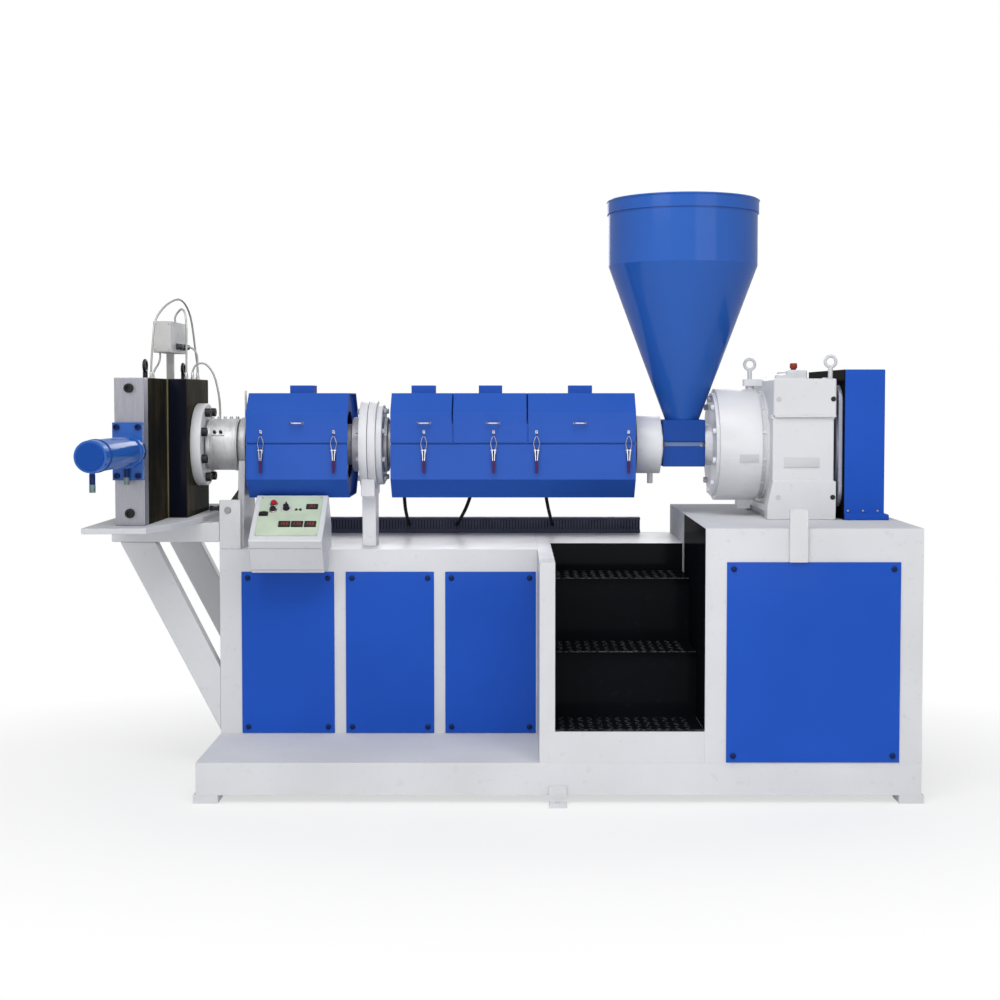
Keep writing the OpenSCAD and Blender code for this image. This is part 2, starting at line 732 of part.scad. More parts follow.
// Lifting eyes of the screen changer
module changer_eyes() color("dimgray") place()
    for (y = [axis_y - changer_eye_out, axis_y + changer_eye_out])
        eyebolt(cylinder_x, y, changer_top, changer_eye_shank, 90);

box_x = 142;
box_l = 274;
box_front = bench_y - 127;
box_back = bench_y + 93;
desk_low = [bench_y - 197, bench_top + 51];
desk_high = [bench_y + 13, bench_top + 206];
// Control desk in front of the short cover
module control_box() color("whitesmoke") place() along_x(box_x, box_l) polygon([
    [box_front, bench_top - 76], [bench_y, bench_top - 76], [bench_y, bench_top],
    [box_back, bench_top], [box_back, bench_top + 88], desk_high, desk_low]);

desk_run = desk_high - desk_low;
desk_dir = desk_run / norm(desk_run);
desk_out = [-desk_dir[1], desk_dir[0]];
fascia_t = 3;
// Sloped fascia plate of the control desk
module control_fascia() color("palegreen") place() along_x(box_x + 20, box_l - 58) polygon([
    desk_low + 16 * desk_dir, desk_high - 14 * desk_dir,
    desk_high - 14 * desk_dir + fascia_t * desk_out, desk_low + 16 * desk_dir + fascia_t * desk_out]);

junction_z = changer_top + 104;
junction_half_w = 36;
junction_h = 120;
junction_y = [axis_y - 40, axis_y + 220];
junction_post_y = axis_y + 90;
junction_post_half = 13;
gland_y = [axis_y + 40, axis_y + 100, axis_y + 160];
gland_z = junction_z + 25;
gland_l = 25;
gland_r = 8;
// Junction box on a post over the screen changer, with cable glands on its right
module junction_box() color("lightgray") place() {
    slab([cylinder_x - junction_half_w, junction_y[0], junction_z],
        [cylinder_x + junction_half_w, junction_y[1], junction_z + junction_h]);
    slab([cylinder_x - junction_post_half, junction_post_y - junction_post_half, changer_top],
        [cylinder_x + junction_post_half, junction_post_y + junction_post_half, junction_z]);
    for (y = gland_y)
        translate([cylinder_x + junction_half_w, y, gland_z]) rotate([0, 90, 0])
            cylinder(r = gland_r, h = gland_l);
}

conduit_r = 4;
// Conduit routes, from the top of the screen changer in X and Z and from the barrel axis in Y
conduit_routes = [
    [[-148, -140, 0], [-148, -140, 40], [-146, -138, 90], [-141, -132, 160], [-136, -118, 222],
        [-116, -75, 272], [-90, -20, 304], [-68, 20, 310], [-52, 60, 282], [-42, 95, 225],
        [-34, 125, 110], [-31, 150, 40], [-31, 150, 0]],
    [[-22, 100, 0], [-22, 100, 45], [-22, 100, 85], [-25, 100, 102], [-34, 100, 118], [-48, 100, 127],
        [-58, 100, 129], [-66, 100, 129]],
    [[-20, 0, 0], [-20, 0, 30], [-4, 0, 58], [30, 0, 60], [62, 0, 20], [80, 0, -50], [86, 0, -110],
        [86, 0, -154]],
    [[-142, -20, 104], [-142, -20, 84], [-145, -35, 60], [-152, -65, 36], [-156, -80, 16],
        [-156, -80, 0]],
    [[-44, 0, 0], [-44, 0, 60], [-44, 5, 140], [-46, 15, 210], [-54, 30, 258], [-70, 45, 276],
        [-88, 56, 264], [-100, 60, 244], [-100, 60, 224]]];
// Conduits over the screen changer
module conduits() color("gray") place()
    for (route = conduit_routes)
        swept_tube([for (p = route) [inlet_x, axis_y, changer_top] + p], conduit_r, [0, 1, 0]);

lead_r = 6;
lead_start = [axis_y + 60, axis_z - cover_half];
lead_end = [base_d - duct_d - 2, bench_top + 36];
// Heater leads: station along the long cover as a fraction of it, and sideways drift
leads = [[0.037, -8], [0.33, -69], [0.64, 45]];
// Path of a lead as fractions of its drift, its way to the back and its drop
lead_path = [[0, 0, 0], [0, 0, 0.19], [0.3, 0.1, 0.54], [0.6, 0.28, 0.79], [0.9, 0.57, 0.92],
    [1, 0.83, 1], [1, 1, 1]];
// Black heater leads from the cover to the cable duct
module heater_leads() color("black") place()
    for (lead = leads)
        swept_tube([for (step = lead_path) [cover_2_x + lead[0] * cover_2_l + step[0] * lead[1],
            lead_start[0] + step[1] * (lead_end[0] - lead_start[0]),
            lead_start[1] + step[2] * (lead_end[1] - lead_start[1])]], lead_r, [1, 0, 0]);

strip_x = motor_x + 292;
strip_w = 65;
strip_t = 14;
strip_high = motor_top + 68;
// Upright strip at the front edge of the motor cabinet
module drain_strip() color("whitesmoke") place()
    slab([strip_x, -strip_t, motor_panel_high], [strip_x + strip_w, 0, strip_high]);

base_frame();
floor_feet();
panel_cabinet();
front_panels();
rear_panels();
motor_cabinet();
stair_cabinet();
stair_sill();
stair_jamb();
stair_risers();
stair_side_sheets();
stair_treads();
cable_duct();
shelf_plate();
shelf_beams();
shelf_braces();
shelf_bracket();
barrel_support();
changer_housing();
changer_inlet_block();
changer_end_plates();
die_flange();
hydraulic_cylinder();
inlet_flange();
adapter();
barrel();
heater_bands();
cover_saddles();
cover_tray_1();
cover_tray_2();
lid_1();
lid_2();
lid_3();
lid_4();
lid_1_handle();
lid_2_handle();
lid_3_handle();
lid_4_handle();
latches();
barrel_flanges();
barrel_post();
feed_collar();
feed_throat();
throat_spacer();
hopper();
gearbox_bell();
gearbox_body();
gearbox_cap();
drive_plate();
belt_guard();
guard_back();
gearbox_eyes();
changer_eyes();
control_box();
control_fascia();
junction_box();
conduits();
heater_leads();
drain_strip();
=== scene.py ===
"""Looks of the plastic pelletizing extruder, in metres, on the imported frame."""
import math

import bmesh
import bpy
from mathutils import Matrix, Vector


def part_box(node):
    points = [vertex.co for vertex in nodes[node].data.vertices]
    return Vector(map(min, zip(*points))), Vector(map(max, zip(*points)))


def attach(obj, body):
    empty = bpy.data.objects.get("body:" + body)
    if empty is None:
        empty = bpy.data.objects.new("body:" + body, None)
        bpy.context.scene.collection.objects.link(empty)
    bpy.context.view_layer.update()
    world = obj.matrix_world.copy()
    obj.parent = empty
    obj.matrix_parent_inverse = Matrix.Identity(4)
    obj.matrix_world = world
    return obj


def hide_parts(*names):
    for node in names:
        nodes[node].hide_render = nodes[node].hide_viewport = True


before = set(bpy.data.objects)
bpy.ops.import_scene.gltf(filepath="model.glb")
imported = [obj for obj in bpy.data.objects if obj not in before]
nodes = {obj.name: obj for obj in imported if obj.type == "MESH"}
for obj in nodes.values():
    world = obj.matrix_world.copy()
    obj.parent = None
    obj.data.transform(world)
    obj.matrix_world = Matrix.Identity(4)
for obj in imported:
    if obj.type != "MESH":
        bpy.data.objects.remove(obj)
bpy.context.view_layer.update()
scene = bpy.context.scene
MACHINE = "machine"
MM = 0.001
UP = Vector((0, 0, 1))
FRONT = Vector((0, -1, 0))
BACK = -FRONT
RIGHT = Vector((1, 0, 0))
LEFT = -RIGHT

# Camera: a pinhole fitted to the photograph, level across and pitched a little down
IMAGE_PX = 1000
FOCAL_PX = 1506
PRINCIPAL_PX = (513, 459)
HORIZON_PX = 396
base_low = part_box("base_frame")[0]
EYE = Vector((base_low.x + 1.118, base_low.y - 5.25, 1.435))


def make_camera():
    data = bpy.data.cameras.new("photo_camera")
    data.sensor_width = 36
    data.lens = 36 * FOCAL_PX / IMAGE_PX
    data.shift_x = (IMAGE_PX / 2 - PRINCIPAL_PX[0]) / IMAGE_PX
    data.shift_y = (PRINCIPAL_PX[1] - IMAGE_PX / 2) / IMAGE_PX
    camera = bpy.data.objects.new("photo_camera", data)
    pitch = math.atan((PRINCIPAL_PX[1] - HORIZON_PX) / FOCAL_PX)
    camera.location = EYE
    camera.rotation_euler = (math.pi / 2 - pitch, 0, 0)
    scene.collection.objects.link(camera)
    scene.camera = camera


# Materials


class Finish:
    """One procedural material: a Principled shader with noise-driven colour, roughness and bump."""

    def __init__(self, name, metallic=0.0, coat=0.0, specular=0.5):
        self.material = bpy.data.materials.new(name)
        self.material.use_nodes = True
        self.tree = self.material.node_tree
        self.shader = self.tree.nodes["Principled BSDF"]
        self.shader.inputs["Metallic"].default_value = metallic
        self.shader.inputs["Coat Weight"].default_value = coat
        self.shader.inputs["Coat Roughness"].default_value = 0.12
        self.shader.inputs["Specular IOR Level"].default_value = specular
        self.place = self.tree.nodes.new("ShaderNodeTexCoord").outputs["Object"]
        self.height = None

    def new(self, kind, **inputs):
        node = self.tree.nodes.new(kind)
        for key, value in inputs.items():
            node.inputs[key.replace("_", " ")].default_value = value
        return node

    def link(self, start, end):
        self.tree.links.new(start, end)

    def stretched(self, scale):
        mapping = self.new("ShaderNodeMapping", Scale=scale)
        self.link(self.place, mapping.inputs["Vector"])
        return mapping.outputs["Vector"]

    def noise(self, scale, detail=3, rough=0.5, stretch=(1, 1, 1)):
        node = self.new("ShaderNodeTexNoise", Scale=scale, Detail=detail, Roughness=rough)
        self.link(self.stretched(stretch), node.inputs["Vector"])
        return node.outputs["Fac"]

    def ramp(self, factor, stops):
        node = self.tree.nodes.new("ShaderNodeValToRGB")
        points = node.color_ramp.elements
        while len(points) < len(stops):
            points.new(0.5)
        for point, (position, colour) in zip(points, stops):
            point.position = position
            point.color = (*colour, 1)
        self.link(factor, node.inputs["Fac"])
        return node.outputs["Color"]

    def tones(self, factor, colour, dark, pale):
        """Drift of one colour between a darker and a paler shade."""
        return self.ramp(factor, [(0.3, shade(colour, dark)), (0.7, shade(colour, pale))])

    def mix(self, factor, first, second):
        """Mix of two colours; the second is an output or a plain colour."""
        node = self.tree.nodes.new("ShaderNodeMix")
        node.data_type = "RGBA"
        self.link(factor, node.inputs[0])
        self.link(first, node.inputs[6])
        if isinstance(second, tuple):
            node.inputs[7].default_value = (*second, 1)
        else:
            self.link(second, node.inputs[7])
        return node.outputs[2]

    def colour(self, output):
        self.link(output, self.shader.inputs["Base Color"])

    def roughness(self, factor, low, high):
        node = self.new("ShaderNodeMapRange", To_Min=low, To_Max=high)
        node.inputs["From Min"].default_value = 0.3
        node.inputs["From Max"].default_value = 0.7
        self.link(factor, node.inputs["Value"])
        self.link(node.outputs["Result"], self.shader.inputs["Roughness"])

    def bump(self, factor, depth, strength):
        node = self.new("ShaderNodeBump", Strength=strength, Distance=depth)
        self.link(factor, node.inputs["Height"])
        if self.height:
            self.link(self.height, node.inputs["Normal"])
        self.height = node.outputs["Normal"]
        self.link(self.height, self.shader.inputs["Normal"])


def shade(colour, factor):
    return tuple(min(1.0, channel * factor) for channel in colour)


def paint(name, colour, low, high, coat=0.1, dust=None, grain=420, peel=0.0004, specular=0.35):
    """Sprayed machine paint: soft tone drift, a fine orange peel, rubbed and dusty spots."""
    finish = Finish(name, coat=coat, specular=specular)
    tone = finish.tones(finish.noise(2.2, detail=4), colour, 0.93, 1.05)
    if dust:
        spots = finish.noise(34, detail=6, rough=0.65)
        tone = finish.mix(finish.ramp(spots, [(0.60, (0, 0, 0)), (0.74, (0.35, 0.35, 0.35))]), tone, dust)
    finish.colour(tone)
    finish.roughness(finish.noise(9, detail=5), low, high)
    finish.bump(finish.noise(grain, detail=2), peel, 0.12)
    finish.bump(finish.noise(5, detail=1), 0.004, 0.10)
    return finish.material


def brushed(name, colour, low, high, stretch, metallic=1.0, depth=0.0003):
    """Ground or turned metal with streaks along one direction."""
    finish = Finish(name, metallic=metallic)
    streaks = finish.noise(60, detail=5, rough=0.6, stretch=stretch)
    clouds = finish.noise(4, detail=4)
    dull, bright = finish.tones(streaks, colour, 0.8, 1.1), finish.tones(streaks, colour, 0.9, 1.18)
    finish.colour(finish.mix(clouds, dull, bright))
    finish.roughness(streaks, low, high)
    finish.bump(streaks, depth, 0.2)
    return finish.material


def moulded(name, colour, low, high, specular=0.2):
    """Moulded plastic or rubber with a fine matt grain."""
    finish = Finish(name, specular=specular)
    finish.colour(finish.tones(finish.noise(12, detail=4), colour, 0.88, 1.08))
    finish.roughness(finish.noise(30), low, high)
    finish.bump(finish.noise(900, detail=2), 0.0002, 0.25)
    return finish.material


def oiled_steel(name):
    """Blackened steel with a glossy film of oil in brown and olive patches."""
    finish = Finish(name, coat=0.06, specular=0.0)
    patches = finish.noise(5, detail=5, rough=0.6, stretch=(1, 1, 0.35))
    finish.colour(finish.ramp(patches, [(0.28, (0.006, 0.007, 0.014)), (0.46, (0.018, 0.017, 0.013)),
                                        (0.62, (0.052, 0.042, 0.026)), (0.8, (0.10, 0.085, 0.06))]))
    finish.roughness(finish.noise(18, detail=5), 0.34, 0.56)
    finish.bump(finish.noise(120, detail=3), 0.0004, 0.15)
    return finish.material


def wear_and_glint(name, colour, pale_speck):
    """Paint with pale specks: partly walked off down to bare metal, partly painted highlight."""
    finish = Finish(name, coat=0.05, specular=0.0)
    finish.colour(finish.ramp(finish.noise(80, detail=5, rough=0.7), [(0.40, colour), (0.66, pale_speck)]))
    finish.roughness(finish.noise(20), 0.4, 0.65)
    finish.bump(finish.noise(200, detail=2), 0.0005, 0.2)
    return finish.material


def braided(name, colour):
    """Woven steel sleeve of a conduit."""
    finish = Finish(name, metallic=0.8)
    rings = finish.new("ShaderNodeTexWave", Scale=90, Distortion=2.0)
    finish.link(finish.place, rings.inputs["Vector"])
    finish.colour(finish.ramp(rings.outputs["Fac"], [(0.2, shade(colour, 0.55)), (0.8, shade(colour, 1.1))]))
    finish.roughness(finish.noise(60), 0.35, 0.6)
    finish.bump(rings.outputs["Fac"], 0.0008, 0.4)
    return finish.material


WHITE = (0.635, 0.64, 0.658)
BLUE = (0.017, 0.084, 0.46)
BLACK = (0.0055, 0.006, 0.008)
DUST = (0.44, 0.43, 0.42)
white_paint = paint("white_paint", WHITE, 0.30, 0.48, dust=DUST)
# A paler copy of the white paint: painted light, so that the base, the motor cabinet and the shelf read
# brighter on top
painted_light_white = paint("painted_light_white", shade(WHITE, 1.04), 0.45, 0.62, coat=0.0, dust=DUST, specular=0.0)
casting_white = paint("casting_white", shade(WHITE, 1.1), 0.34, 0.55, coat=0.15, dust=(0.5, 0.5, 0.5),
                      grain=160, peel=0.0012)
blue_paint = paint("blue_paint", BLUE, 0.30, 0.46, coat=0.08, specular=0.0)
# Lids and trays: the blue paint made a little paler, a painted sheen
painted_sheen_blue = paint("painted_sheen_blue", (0.026, 0.096, 0.44), 0.30, 0.46, coat=0.1, specular=0.0)
hopper_blue = paint("hopper_blue", (0.022, 0.102, 0.42), 0.26, 0.40, coat=0.4, specular=0.0)
cylinder_blue = paint("cylinder_blue", (0.018, 0.108, 0.42), 0.14, 0.24, coat=0.5, specular=0.1)
black_paint = paint("black_paint", BLACK, 0.45, 0.65, coat=0.05, dust=(0.02, 0.02, 0.02), specular=0.0)
ground_steel = brushed("ground_steel", (0.29, 0.29, 0.325), 0.34, 0.52, (8, 1, 0.25))
turned_steel = brushed("turned_steel", (0.42, 0.42, 0.43), 0.38, 0.55, (6, 1, 1), metallic=0.7)
band_steel = brushed("band_steel", (0.54, 0.54, 0.55), 0.42, 0.60, (2, 0.4, 0.4), metallic=0.6)
chrome = brushed("chrome", (0.36, 0.36, 0.40), 0.14, 0.28, (3, 3, 0.6), depth=0.0001)
dark_steel = oiled_steel("dark_steel")
black_oxide = brushed("black_oxide", (0.018, 0.018, 0.02), 0.35, 0.55, (2, 2, 2), metallic=0.7)
eye_white = paint("eye_white", shade(WHITE, 0.95), 0.35, 0.55)
duct_plastic = moulded("duct_plastic", (0.085, 0.088, 0.135), 0.45, 0.65)
box_plastic = moulded("box_plastic", (0.54, 0.54, 0.53), 0.42, 0.60)
fascia_sheet = moulded("fascia_sheet", (0.53, 0.62, 0.48), 0.30, 0.45)
cable_rubber = moulded("cable_rubber", (0.007, 0.007, 0.008), 0.40, 0.60, specular=0.05)
conduit_braid = braided("conduit_braid", (0.45, 0.45, 0.44))
red_plastic = moulded("red_plastic", (0.42, 0.016, 0.022), 0.30, 0.45)
black_plastic = moulded("black_plastic", (0.014, 0.014, 0.015), 0.32, 0.50)
breather_red = moulded("breather_red", (0.26, 0.035, 0.02), 0.40, 0.60)
zinc = brushed("zinc", (0.40, 0.40, 0.40), 0.24, 0.42, (2, 2, 2))
steel_grey = brushed("steel_grey", (0.28, 0.27, 0.28), 0.35, 0.55, (2, 2, 2))
# Olive of the strips on the changer housing's right edge: a painted highlight
painted_highlight_olive = moulded("painted_highlight_olive", (0.16, 0.145, 0.07), 0.4, 0.6)
spacer_blue = paint("spacer_blue", (0.13, 0.20, 0.38), 0.35, 0.5, specular=0.1)
grip_plum = moulded("grip_plum", (0.062, 0.022, 0.10), 0.3, 0.45, specular=0.05)
window_brown = moulded("window_brown", (0.035, 0.022, 0.016), 0.12, 0.22)
figure_red = moulded("figure_red", (0.30, 0.05, 0.03), 0.4, 0.5)
# Grey of the desk's painted shadow lines
fold_shadow_grey = moulded("fold_shadow_grey", (0.30, 0.30, 0.32), 0.5, 0.6)
gland_grey = moulded("gland_grey", (0.07, 0.07, 0.07), 0.4, 0.55)
block_navy = paint("block_navy", (0.006, 0.007, 0.014), 0.3, 0.5, coat=0.05, specular=0.0)
drive_grey = brushed("drive_grey", (0.27, 0.28, 0.35), 0.40, 0.60, (1, 1, 4), metallic=0.6)
oil_teal = brushed("oil_teal", (0.13, 0.19, 0.19), 0.35, 0.55, (2, 2, 2), metallic=0.5)
pad_grey = paint("pad_grey", shade(WHITE, 0.87), 0.4, 0.55)
bolt_blue = paint("bolt_blue", shade(BLUE, 0.22), 0.35, 0.5, specular=0.1)
# A darker copy of the blue paint: painted shade on the cylinder's end face and the feed throat
painted_shade_blue = paint("painted_shade_blue", (0.012, 0.064, 0.31), 0.35, 0.5, coat=0.08, specular=0.0)
# Pale specks on the treads: partly wear, partly painted highlight
wear_and_glint_black = wear_and_glint("wear_and_glint_black", BLACK, (0.095, 0.095, 0.10))

NODE_FINISH = {
    painted_light_white: ["base_frame", "motor_cabinet", "shelf_plate"],
    white_paint: ["floor_feet", "panel_cabinet", "stair_cabinet", "stair_sill", "stair_jamb", "shelf_beams",
                  "shelf_braces", "shelf_bracket", "barrel_support", "control_box", "drain_strip",
                  "gearbox_body", "gearbox_cap"],
    casting_white: ["gearbox_bell", "inlet_flange", "barrel_flanges", "barrel_post", "feed_collar"],
    blue_paint: ["front_panels", "rear_panels", "belt_guard"],
    # Lids and trays take the paler blue: a painted sheen
    painted_sheen_blue: ["cover_tray_1", "cover_tray_2", "lid_1", "lid_2", "lid_3", "lid_4"],
    hopper_blue: ["hopper"],
    cylinder_blue: ["hydraulic_cylinder"],
    painted_shade_blue: ["feed_throat"],
    # guard_back takes the black paint as painted shade on the belt guard's dark side; the stair parts are
    # painted black
    black_paint: ["stair_risers", "stair_side_sheets", "stair_treads", "guard_back"],
    ground_steel: ["changer_end_plates", "die_flange"],
    spacer_blue: ["throat_spacer"],
    drive_grey: ["drive_plate"],
    turned_steel: ["adapter", "barrel", "cover_saddles"],
    band_steel: ["heater_bands"],
    chrome: ["lid_1_handle", "lid_2_handle", "lid_3_handle", "lid_4_handle", "latches"],
    dark_steel: ["changer_housing", "changer_inlet_block"],
    eye_white: ["gearbox_eyes"],
    black_oxide: ["changer_eyes"],
    duct_plastic: ["cable_duct"],
    box_plastic: ["junction_box"],
    fascia_sheet: ["control_fascia"],
    cable_rubber: ["heater_leads"],
    conduit_braid: ["conduits"],
}

# Nodes by the width in millimetres of their rounded edges: folded sheet, plates and castings
EDGE_MM = {
    0.6: ["stair_sill"],
    0.8: ["base_frame", "motor_cabinet", "stair_jamb"],
    1: ["control_fascia", "cover_saddles"],
    1.2: ["front_panels", "rear_panels", "heater_bands"],
    1.5: ["panel_cabinet", "stair_cabinet", "stair_treads", "throat_spacer", "guard_back"],
    2: ["floor_feet", "drain_strip", "die_flange", "adapter"],
    2.4: ["lid_1", "lid_2", "lid_3", "lid_4", "cover_tray_1", "cover_tray_2"],
    2.5: ["changer_end_plates", "barrel_flanges"],
    3: ["shelf_plate", "shelf_bracket", "barrel_support", "changer_housing", "changer_inlet_block",
        "feed_throat", "inlet_flange", "barrel_post", "hydraulic_cylinder"],
    4: ["belt_guard", "feed_collar"],
    5: ["shelf_beams", "shelf_braces", "control_box"],
    6: ["junction_box", "drive_plate"],
    7: ["gearbox_bell"],
    9: ["gearbox_cap"],
    12: ["gearbox_body"],
}


def dress_nodes():
    for material, names in NODE_FINISH.items():
        for name in names:
            nodes[name].data.materials.clear()
            nodes[name].data.materials.append(material)
    for width, names in EDGE_MM.items():
        for name in names:
            round_edges(nodes[name].modifiers, width * MM)


def round_edges(modifiers, width):
    """Joins the flat faces of a CAD mesh and rounds its edges."""
    weld = modifiers.new("weld", "WELD")
    weld.merge_threshold = 2e-5
    flat = modifiers.new("flat", "DECIMATE")
    flat.decimate_type = "DISSOLVE"
    flat.angle_limit = math.radians(0.4)
    edge = modifiers.new("edge", "BEVEL")
    edge.width = width
    edge.segments = 2
    edge.limit_method = "ANGLE"
    edge.angle_limit = math.radians(32)
    edge.harden_normals = True


# Mesh tools


def solids(name):
    """Boxes of the separate solids of a CAD node, sorted by X, Y and Z."""
    mesh = nodes[name].data
    places = {}
    group = []
    for vertex in mesh.vertices:
        key = tuple(round(value, 5) for value in vertex.co)
        group.append(places.setdefault(key, vertex.index))

    def root(i):
        while group[i] != i:
            i = group[i]
        return i

    for edge in mesh.edges:
        first, second = (root(i) for i in edge.vertices)
        group[max(first, second)] = min(first, second)
    found = {}
    for vertex in mesh.vertices:
        found.setdefault(root(vertex.index), []).append(vertex.co)
    boxes = [(Vector(map(min, zip(*points))), Vector(map(max, zip(*points)))) for points in found.values()]
    return sorted(boxes, key=lambda box: tuple(round(value, 3) for value in box[0]))


def middle(box):
    return (box[0] + box[1]) / 2


class Piece:
    """A mesh of plates, turned parts and bent rods, in the row frame."""

    def __init__(self, name, material, slot, body=MACHINE):
        self.name = name
        self.material = material
        self.slot = slot
        self.body = body
        self.mesh = bmesh.new()

    def plate(self, low, high, edge=0.0, turn=None):
        """Box with rounded edges; turn places it."""
        low, high = Vector(low), Vector(high)
        corners = bmesh.ops.create_cube(self.mesh, size=1)["verts"]
        for corner in corners:
            corner.co = Vector(low[k] + (corner.co[k] + 0.5) * (high[k] - low[k]) for k in range(3))
        if edge:
            edges = list({link for corner in corners for link in corner.link_edges})
            made = bmesh.ops.bevel(self.mesh, geom=edges, offset=edge, segments=2, profile=0.6,
                                   affect="EDGES")
            corners = list({corner for face in made["faces"] for corner in face.verts})
        if turn:
            bmesh.ops.transform(self.mesh, matrix=turn, verts=corners)

    def turned(self, base, axis, profile, sides=24):
        """Part turned about an axis, from (radius, height) pairs; a radius of 0 closes it."""
        turn = Vector(axis).to_track_quat("Z", "Y")
        angles = [math.tau * (k + 0.5) / sides for k in range(sides)]
        rings = []
        for radius, height in profile:
            count = sides if radius else 1
            spots = [Vector((radius * math.cos(a), radius * math.sin(a), height)) for a in angles[:count]]
            rings.append([self.mesh.verts.new(Vector(base) + turn @ spot) for spot in spots])
        for below, above in zip(rings, rings[1:]):
            for k in range(sides):
                n = (k + 1) % sides
                around = ((below, k), (below, n), (above, n), (above, k))
                unique = list(dict.fromkeys(ring[i % len(ring)] for ring, i in around))
                if len(unique) > 2:
                    self.mesh.faces.new(unique)

    def stub(self, base, axis, *profile, sides=24):
        """Turned part that is closed to its axis at both ends."""
        self.turned(base, axis, [(0, profile[0][1]), *profile, (0, profile[-1][1])], sides)

    def rod(self, route, radius, sides=10):
        """Round rod bent along a route, with closed ends."""
        route = [Vector(point) for point in route]
        angles = [math.tau * k / sides for k in range(sides)]
        rings = []
        side = None
        for i, point in enumerate(route):
            along = (route[min(i + 1, len(route) - 1)] - route[max(i - 1, 0)]).normalized()
            side = along.orthogonal() if side is None else side - along * side.dot(along)
            side.normalize()
            up = along.cross(side)
            spots = [point + radius * (math.cos(a) * side + math.sin(a) * up) for a in angles]
            rings.append([self.mesh.verts.new(spot) for spot in spots])
        for below, above in zip(rings, rings[1:]):
            for k in range(sides):
                n = (k + 1) % sides
                self.mesh.faces.new((below[k], below[n], above[n], above[k]))
        self.mesh.faces.new(rings[0][::-1])
        self.mesh.faces.new(rings[-1])

    def prism(self, outline, depth):
        """Flat outline drawn out by a depth vector."""
        low = [self.mesh.verts.new(point) for point in outline]
        high = [self.mesh.verts.new(Vector(point) + Vector(depth)) for point in outline]
        self.mesh.faces.new(low[::-1])
        self.mesh.faces.new(high)
        for k in range(len(low)):
            n = (k + 1) % len(low)
            self.mesh.faces.new((low[k], low[n], high[n], high[k]))

    def done(self, *replaced, sharp=35):
        bmesh.ops.recalc_face_normals(self.mesh, faces=self.mesh.faces)
        data = bpy.data.meshes.new(self.name)
        self.mesh.to_mesh(data)
        self.mesh.free()
        data.materials.append(self.material)
        data.shade_smooth()
        data.set_sharp_from_angle(angle=math.radians(sharp))
        piece = bpy.data.objects.new(self.name, data)
        scene.collection.objects.link(piece)
        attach(piece, self.body)
        if replaced:
            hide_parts(*replaced)


def smooth_route(points, steps):
    """Smooth curve through the points."""
    points = [Vector(point) for point in points]
    ends = [2 * points[0] - points[1]] + points + [2 * points[-1] - points[-2]]
    route = []
    for a, b, c, d in zip(ends, ends[1:], ends[2:], ends[3:]):
        for k in range(steps):
            t = k / steps
            route.append(0.5 * (2 * b + (c - a) * t + (2 * a - 5 * b + 4 * c - d) * t * t
                                + (3 * b - a - 3 * c + d) * t ** 3))
    return route + [points[-1]]


def socket_head(piece, base, axis, r, h):
    """Cap screw: round head with a socket."""
    piece.stub(base, axis, (r, 0), (r, 0.82 * h), (0.9 * r, h), (0.56 * r, h), (0.52 * r, 0.4 * h))


def button_head(piece, base, axis, r):
    """Low domed screw head with a socket."""
    piece.stub(base, axis, (r, 0), (r, 0.12 * r), (0.93 * r, 0.32 * r), (0.72 * r, 0.52 * r),
               (0.42 * r, 0.6 * r), (0.36 * r, 0.3 * r))


def hex_bolt(piece, base, axis, r, h):
    """Hexagon head on a washer, with a chamfered top."""
    piece.stub(base, axis, (1.25 * r, 0), (1.25 * r, 0.18 * h))
    piece.stub(base, axis, (r, 0.18 * h), (r, 0.9 * h), (0.86 * r, h), sides=6)


def bolt_circle(centre, radius, count, offset):
    """Places round a circle about an axis along X, from an offset in degrees."""
    for k in range(count):
        angle = math.radians(offset) + math.tau * k / count
        yield centre + radius * Vector((0, math.cos(angle), math.sin(angle)))


# Cords

AXIS = middle(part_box("barrel"))
CONDUIT_R = 0.004
# Braided conduits on the screen changer, in millimetres from the middle of its top edge at the inlet
CONDUITS = [
    [[-148, -140, 0], [-148, -140, 40], [-146, -138, 90], [-141, -132, 160], [-136, -118, 222],
     [-116, -75, 272], [-90, -20, 304], [-68, 20, 310], [-52, 60, 282], [-42, 95, 225], [-34, 125, 110],
     [-31, 150, 40], [-31, 150, 0]],
    [[-22, 100, 0], [-22, 100, 45], [-22, 100, 85], [-25, 100, 102], [-34, 100, 118], [-48, 100, 127],
     [-58, 100, 129], [-66, 100, 129]],
    [[-20, 0, 0], [-20, 0, 30], [-4, 0, 58], [30, 0, 60], [62, 0, 20], [80, 0, -50], [86, 0, -110],
     [86, 0, -154]],
    [[-142, -20, 104], [-142, -20, 84], [-145, -35, 60], [-152, -65, 36], [-156, -80, 16], [-156, -80, 0]],
    [[-44, 0, 0], [-44, 0, 60], [-44, 5, 140], [-46, 15, 210], [-54, 30, 258], [-70, 45, 276], [-88, 56, 264],
     [-100, 60, 244], [-100, 60, 224]]]
changer_edge = Vector((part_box("inlet_flange")[0].x, AXIS.y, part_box("changer_housing")[1].z))
LEAD_R = 0.007
# Heater leads: share along the long tray, sideways drift in millimetres
LEADS = [[0.037, -12], [0.318, -72], [0.64, 38]]
# Their common fall from the tray to the duct, as shares of drift, depth and drop
LEAD_PATH = [[0, 0, 0], [0.06, 0.03, 0.12], [0.32, 0.24, 0.42], [0.65, 0.58, 0.72], [0.9, 0.87, 0.94],
             [1, 1, 1]]


def on_axis(x):
    """Place on the barrel's axis."""
    return Vector((x, AXIS.y, AXIS.z))


